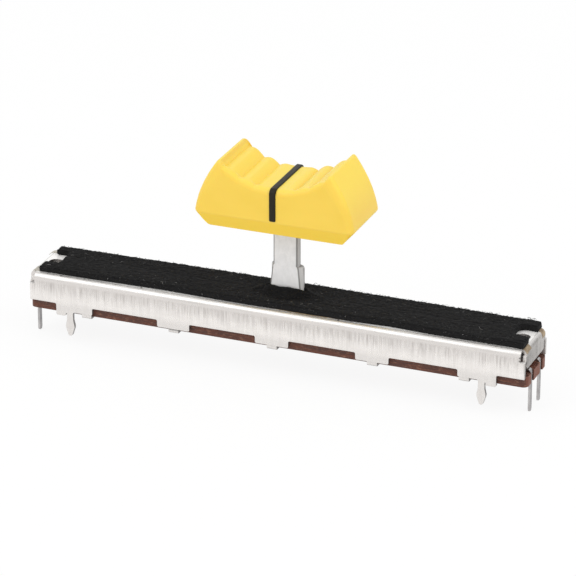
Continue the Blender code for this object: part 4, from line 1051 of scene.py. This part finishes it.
def chamfer_foot(bm, hand):
    """Slants the knob below its waist in front or behind, and softens the edge that this leaves."""
    lean = KNOB_HALF_WIDTH - KNOB_BASE_HALF_WIDTH
    place = Vector((0, hand * KNOB_HALF_WIDTH, knob_low.z + KNOB_WAIST_HEIGHT))
    edges = bisect(bm, place, Vector((0, hand * KNOB_WAIST_HEIGHT, -lean)), clear_outer=True)
    bmesh.ops.edgeloop_fill(bm, edges=edges)
    waist = [e for e in edges if e.is_valid and all(abs(v.co.z - place.z) < 0.02 * MM for v in e.verts)]
    bmesh.ops.bevel(bm, geom=waist, offset=KNOB_WAIST_SOFTNESS, segments=4, affect="EDGES", profile=0.5,
                    material=-1)


def pocket(bm, xs, ys, top):
    """Adds a box that reaches up into the knob, between two distances along it and two across."""
    (x0, x1), (y0, y1) = sorted(xs), sorted(ys)
    low, high = Vector((SLIDER_X + x0, y0, knob_low.z - MM)), Vector((SLIDER_X + x1, y1, knob_low.z + top))
    verts = bmesh.ops.create_cube(bm, size=1.0)["verts"]
    bmesh.ops.scale(bm, verts=verts, vec=high - low)
    bmesh.ops.translate(bm, verts=verts, vec=(low + high) / 2)


def hollow_knob(knob):
    """The lever's socket, and pockets between the boss, the ribs and the walls."""
    (half_x, half_y), (boss_x, boss_y) = SOCKET_HALF, BOSS_HALF
    outer_x, outer_y = KNOB_BASE_HALF - KNOB_WALL, KNOB_BASE_HALF_WIDTH - KNOB_WALL
    bm = bmesh.new()
    pocket(bm, (-half_x, half_x), (-half_y, half_y), SOCKET_TOP)
    for hand in (-1, 1):
        for side in (-1, 1):
            pocket(bm, (side * boss_x, side * outer_x), (hand * KNOB_RIB / 2, hand * outer_y), POCKET_TOP)
        pocket(bm, (KNOB_RIB - boss_x, boss_x - KNOB_RIB), (hand * boss_y, hand * outer_y), POCKET_TOP)
    cut(knob, bm)


def mark_valleys(knob):
    """Keeps in the mesh how near each point of the ridged top is to the bottom of a groove."""
    def nearness(place):
        """1 at the bottom of a groove, falling to 0 beside it."""
        x, y, z = place.x - SLIDER_X, place.y, place.z - knob_low.z
        if abs(x) > KNOB_PEAK_HALF - KNOB_PEAK_RADIUS or z < crown(x, KNOB_EDGE, 1.0) - 0.05 * MM:
            return 0.0
        return groove_nearness(x) ** 5 * front_fade(y)

    # The knob's material paints shade into the valleys by this value.
    values = [nearness(vert.co) for vert in knob.data.vertices]
    knob.data.attributes.new("valley", "FLOAT", "POINT").data.foreach_set("value", values)


def knob_piece():
    """The finger knob: ridged top, rounded edges, slanted foot, hollow inside."""
    bm = bmesh.new()
    skin(bm, [ring(bm, [(SLIDER_X + x, y, knob_low.z + z) for x, z in knob_outline(inset, front_fade(y))])
              for y, inset in knob_stations()])
    bmesh.ops.recalc_face_normals(bm, faces=bm.faces)
    for hand in (-1, 1):
        chamfer_foot(bm, hand)
    knob = piece("finger_knob", bm, knob_yellow(), "slider", 35)
    hollow_knob(knob)
    mark_valleys(knob)
    knob.data.set_sharp_from_angle(angle=math.radians(35))
    weigh_normals(knob)
    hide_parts("knob")


# Indicator line

def line_piece():
    """A raised bar with rounded corners and ends, laid over the knob's front, top and back."""
    half, top, radius = KNOB_HALF_WIDTH, knob_low.z + KNOB_VALLEY_HEIGHT, LINE_BEND_RADIUS
    low = knob_low.z + LINE_END
    path = [Vector(p) for p in [(-half, low)] + arc((radius - half, top - radius), radius, 180, 90, 10)
            + arc((half - radius, top - radius), radius, 90, 0, 10) + [(half, low)]]
    section = rounded([(-LINE_HALF_WIDTH, -LINE_SUNK, 0), (LINE_HALF_WIDTH, -LINE_SUNK, 0),
                       (LINE_HALF_WIDTH, LINE_PROUD, LINE_CORNER),
                       (-LINE_HALF_WIDTH, LINE_PROUD, LINE_CORNER)], 5)
    up = Vector((0, 1))
    stations = [(path[0], up, size, back) for size, back in ROUNDED_END]
    stations += [(place, None, 1.0, 0.0) for place in path[1:-1]]
    stations += [(path[-1], -up, size, -back) for size, back in reversed(ROUNDED_END)]
    bm = bmesh.new()
    rings = []
    for i, (place, ahead, size, back) in enumerate(stations):
        ahead = ahead or (stations[i + 1][0] - stations[i - 1][0]).normalized()
        place = place + ahead * back * LINE_CORNER
        inset = (1 - size) * LINE_CORNER
        heights = [h - inset if h > 0 else h for _, h in section]
        rings.append(ring(bm, [(SLIDER_X + x * (1 - inset / LINE_HALF_WIDTH), place.x - ahead.y * h,
                                place.y + ahead.x * h) for (x, _), h in zip(section, heights)]))
    skin(bm, rings)
    line = piece("indicator_bar", bm, line_black(), "slider", 50)
    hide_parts("indicator_line")


# Stage

def shown(tree):
    """1 for what the camera sees, directly, in metal or through plastic, and 0 for light on things."""
    path = node(tree, "LightPath").outputs
    mirrored = maths("MAXIMUM", path["Is Glossy Ray"], path["Is Transmission Ray"])
    return maths("MAXIMUM", path["Is Camera Ray"], mirrored)


def studio():
    """A plain pale table and soft light from all round, most of it from above and the front left."""
    bm = bmesh.new()
    bmesh.ops.create_grid(bm, x_segments=2, y_segments=2, size=2.0)
    table = add("table", mesh_of(bm, "table"))
    table.data.materials.append(table_white())
    for name, (place, size, power) in LAMPS.items():
        lamp(name, place, size, power)
    world = bpy.data.worlds.new("studio")
    world.use_nodes = True
    bpy.context.scene.world = world
    tree = world.node_tree
    background = tree.nodes["Background"]
    background.inputs["Color"].default_value = (1.0, 1.0, 1.0, 1.0)
    tree.links.new(ramp(shown(tree), 0.0, 1.0, WORLD_LIGHT, 1.0), background.inputs["Strength"])
    bpy.context.scene.view_settings.view_transform = "Standard"


def table_white():
    """White paper that keeps a soft shadow and shows white to the camera and in the metal."""
    mat, tree, shader = new_material("table_white", (0.94, 0.94, 0.94), 0.9, Specular_IOR_Level=0.0)
    paint(shader, mixed(grain(tree, 0.4), (0.95, 0.95, 0.95), (0.93, 0.93, 0.93)))
    glow = node(tree, "Emission", {"Strength": 1.0}).outputs["Emission"]
    white = product(shown(tree), 0.89)
    mix = node(tree, "MixShader", {0: white, 1: shader.outputs["BSDF"], 2: glow})
    tree.links.new(mix.outputs["Shader"], tree.nodes["Material Output"].inputs["Surface"])
    return mat


def aim(obj, place, target):
    """Stands an object at a place and turns it to a target."""
    obj.location = place
    obj.rotation_mode = "QUATERNION"
    obj.rotation_quaternion = (target - Vector(place)).to_track_quat("-Z", "Y")


def lamp(name, place, size, power):
    """A square lamp that shines on the part."""
    light = bpy.data.lights.new(name, "AREA")
    light.size = size
    light.energy = power
    aim(add(name, light), place, Vector((0, 0, TOP)))


def set_camera():
    """A long lens that puts the part where it lies in the photograph."""
    back = Vector((math.sin(AZIMUTH) * math.cos(ELEVATION), -math.cos(AZIMUTH) * math.cos(ELEVATION),
                   math.sin(ELEVATION)))
    right = Vector((math.cos(AZIMUTH), math.sin(AZIMUTH), 0))
    up = back.cross(right)
    middle = Vector((0, 0, TOP))
    per_pixel = CAMERA_DISTANCE / FOCAL_PIXELS
    target = middle + right * (PICTURE / 2 - COVER_MIDDLE_PIXEL[0]) * per_pixel
    target += up * (COVER_MIDDLE_PIXEL[1] - PICTURE / 2) * per_pixel
    data = bpy.data.cameras.new("camera")
    data.sensor_width = SENSOR
    data.lens = FOCAL_PIXELS * SENSOR / PICTURE
    data.clip_start = 10 * MM
    camera = add("camera", data)
    aim(camera, middle + back * CAMERA_DISTANCE, target)
    bpy.context.scene.camera = camera


def dress(mat, *node_names):
    """Gives CAD nodes that stay their finish."""
    for name in node_names:
        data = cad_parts[name].data
        data.materials.clear()
        data.materials.append(mat)


def main():
    """Makes each piece, gives the CAD nodes that stay their finish, and sets the stage."""
    merged_copy("cover", "folded_cover", tin_plate(), "housing", 30, left_flap_out)
    felt = felt_body()
    felt_lips(felt.data.materials[0])
    fibre = felt_fibre()
    felt_fibres(fibre)
    lip_fibres(fibre)
    adhesive_film()
    dress(paper_phenolic(), "resistor_board")
    dress(tinned_terminal(), *(f"terminal_{kind}{number}" for number in (1, 2, 3) for kind in ("", "rivet_")))
    dress(printed_film("silver_print", (0.62, 0.62, 0.60), (0.42, 0.42, 0.40), 0.45, 0.6),
          "collector_track", "track_electrode_left", "track_electrode_right")
    dress(printed_film("carbon_print", (0.022, 0.022, 0.022), (0.045, 0.044, 0.043), 0.5), "resistive_track")
    dress(moulded_acetal(), "slider_carriage")
    dress(spring_bronze(), "wiper", "friction_spring")
    merged_copy("lever", "lever_channel", rolled_steel(), "slider", 30)
    knob_piece()
    line_piece()
    studio()
    set_camera()


main()
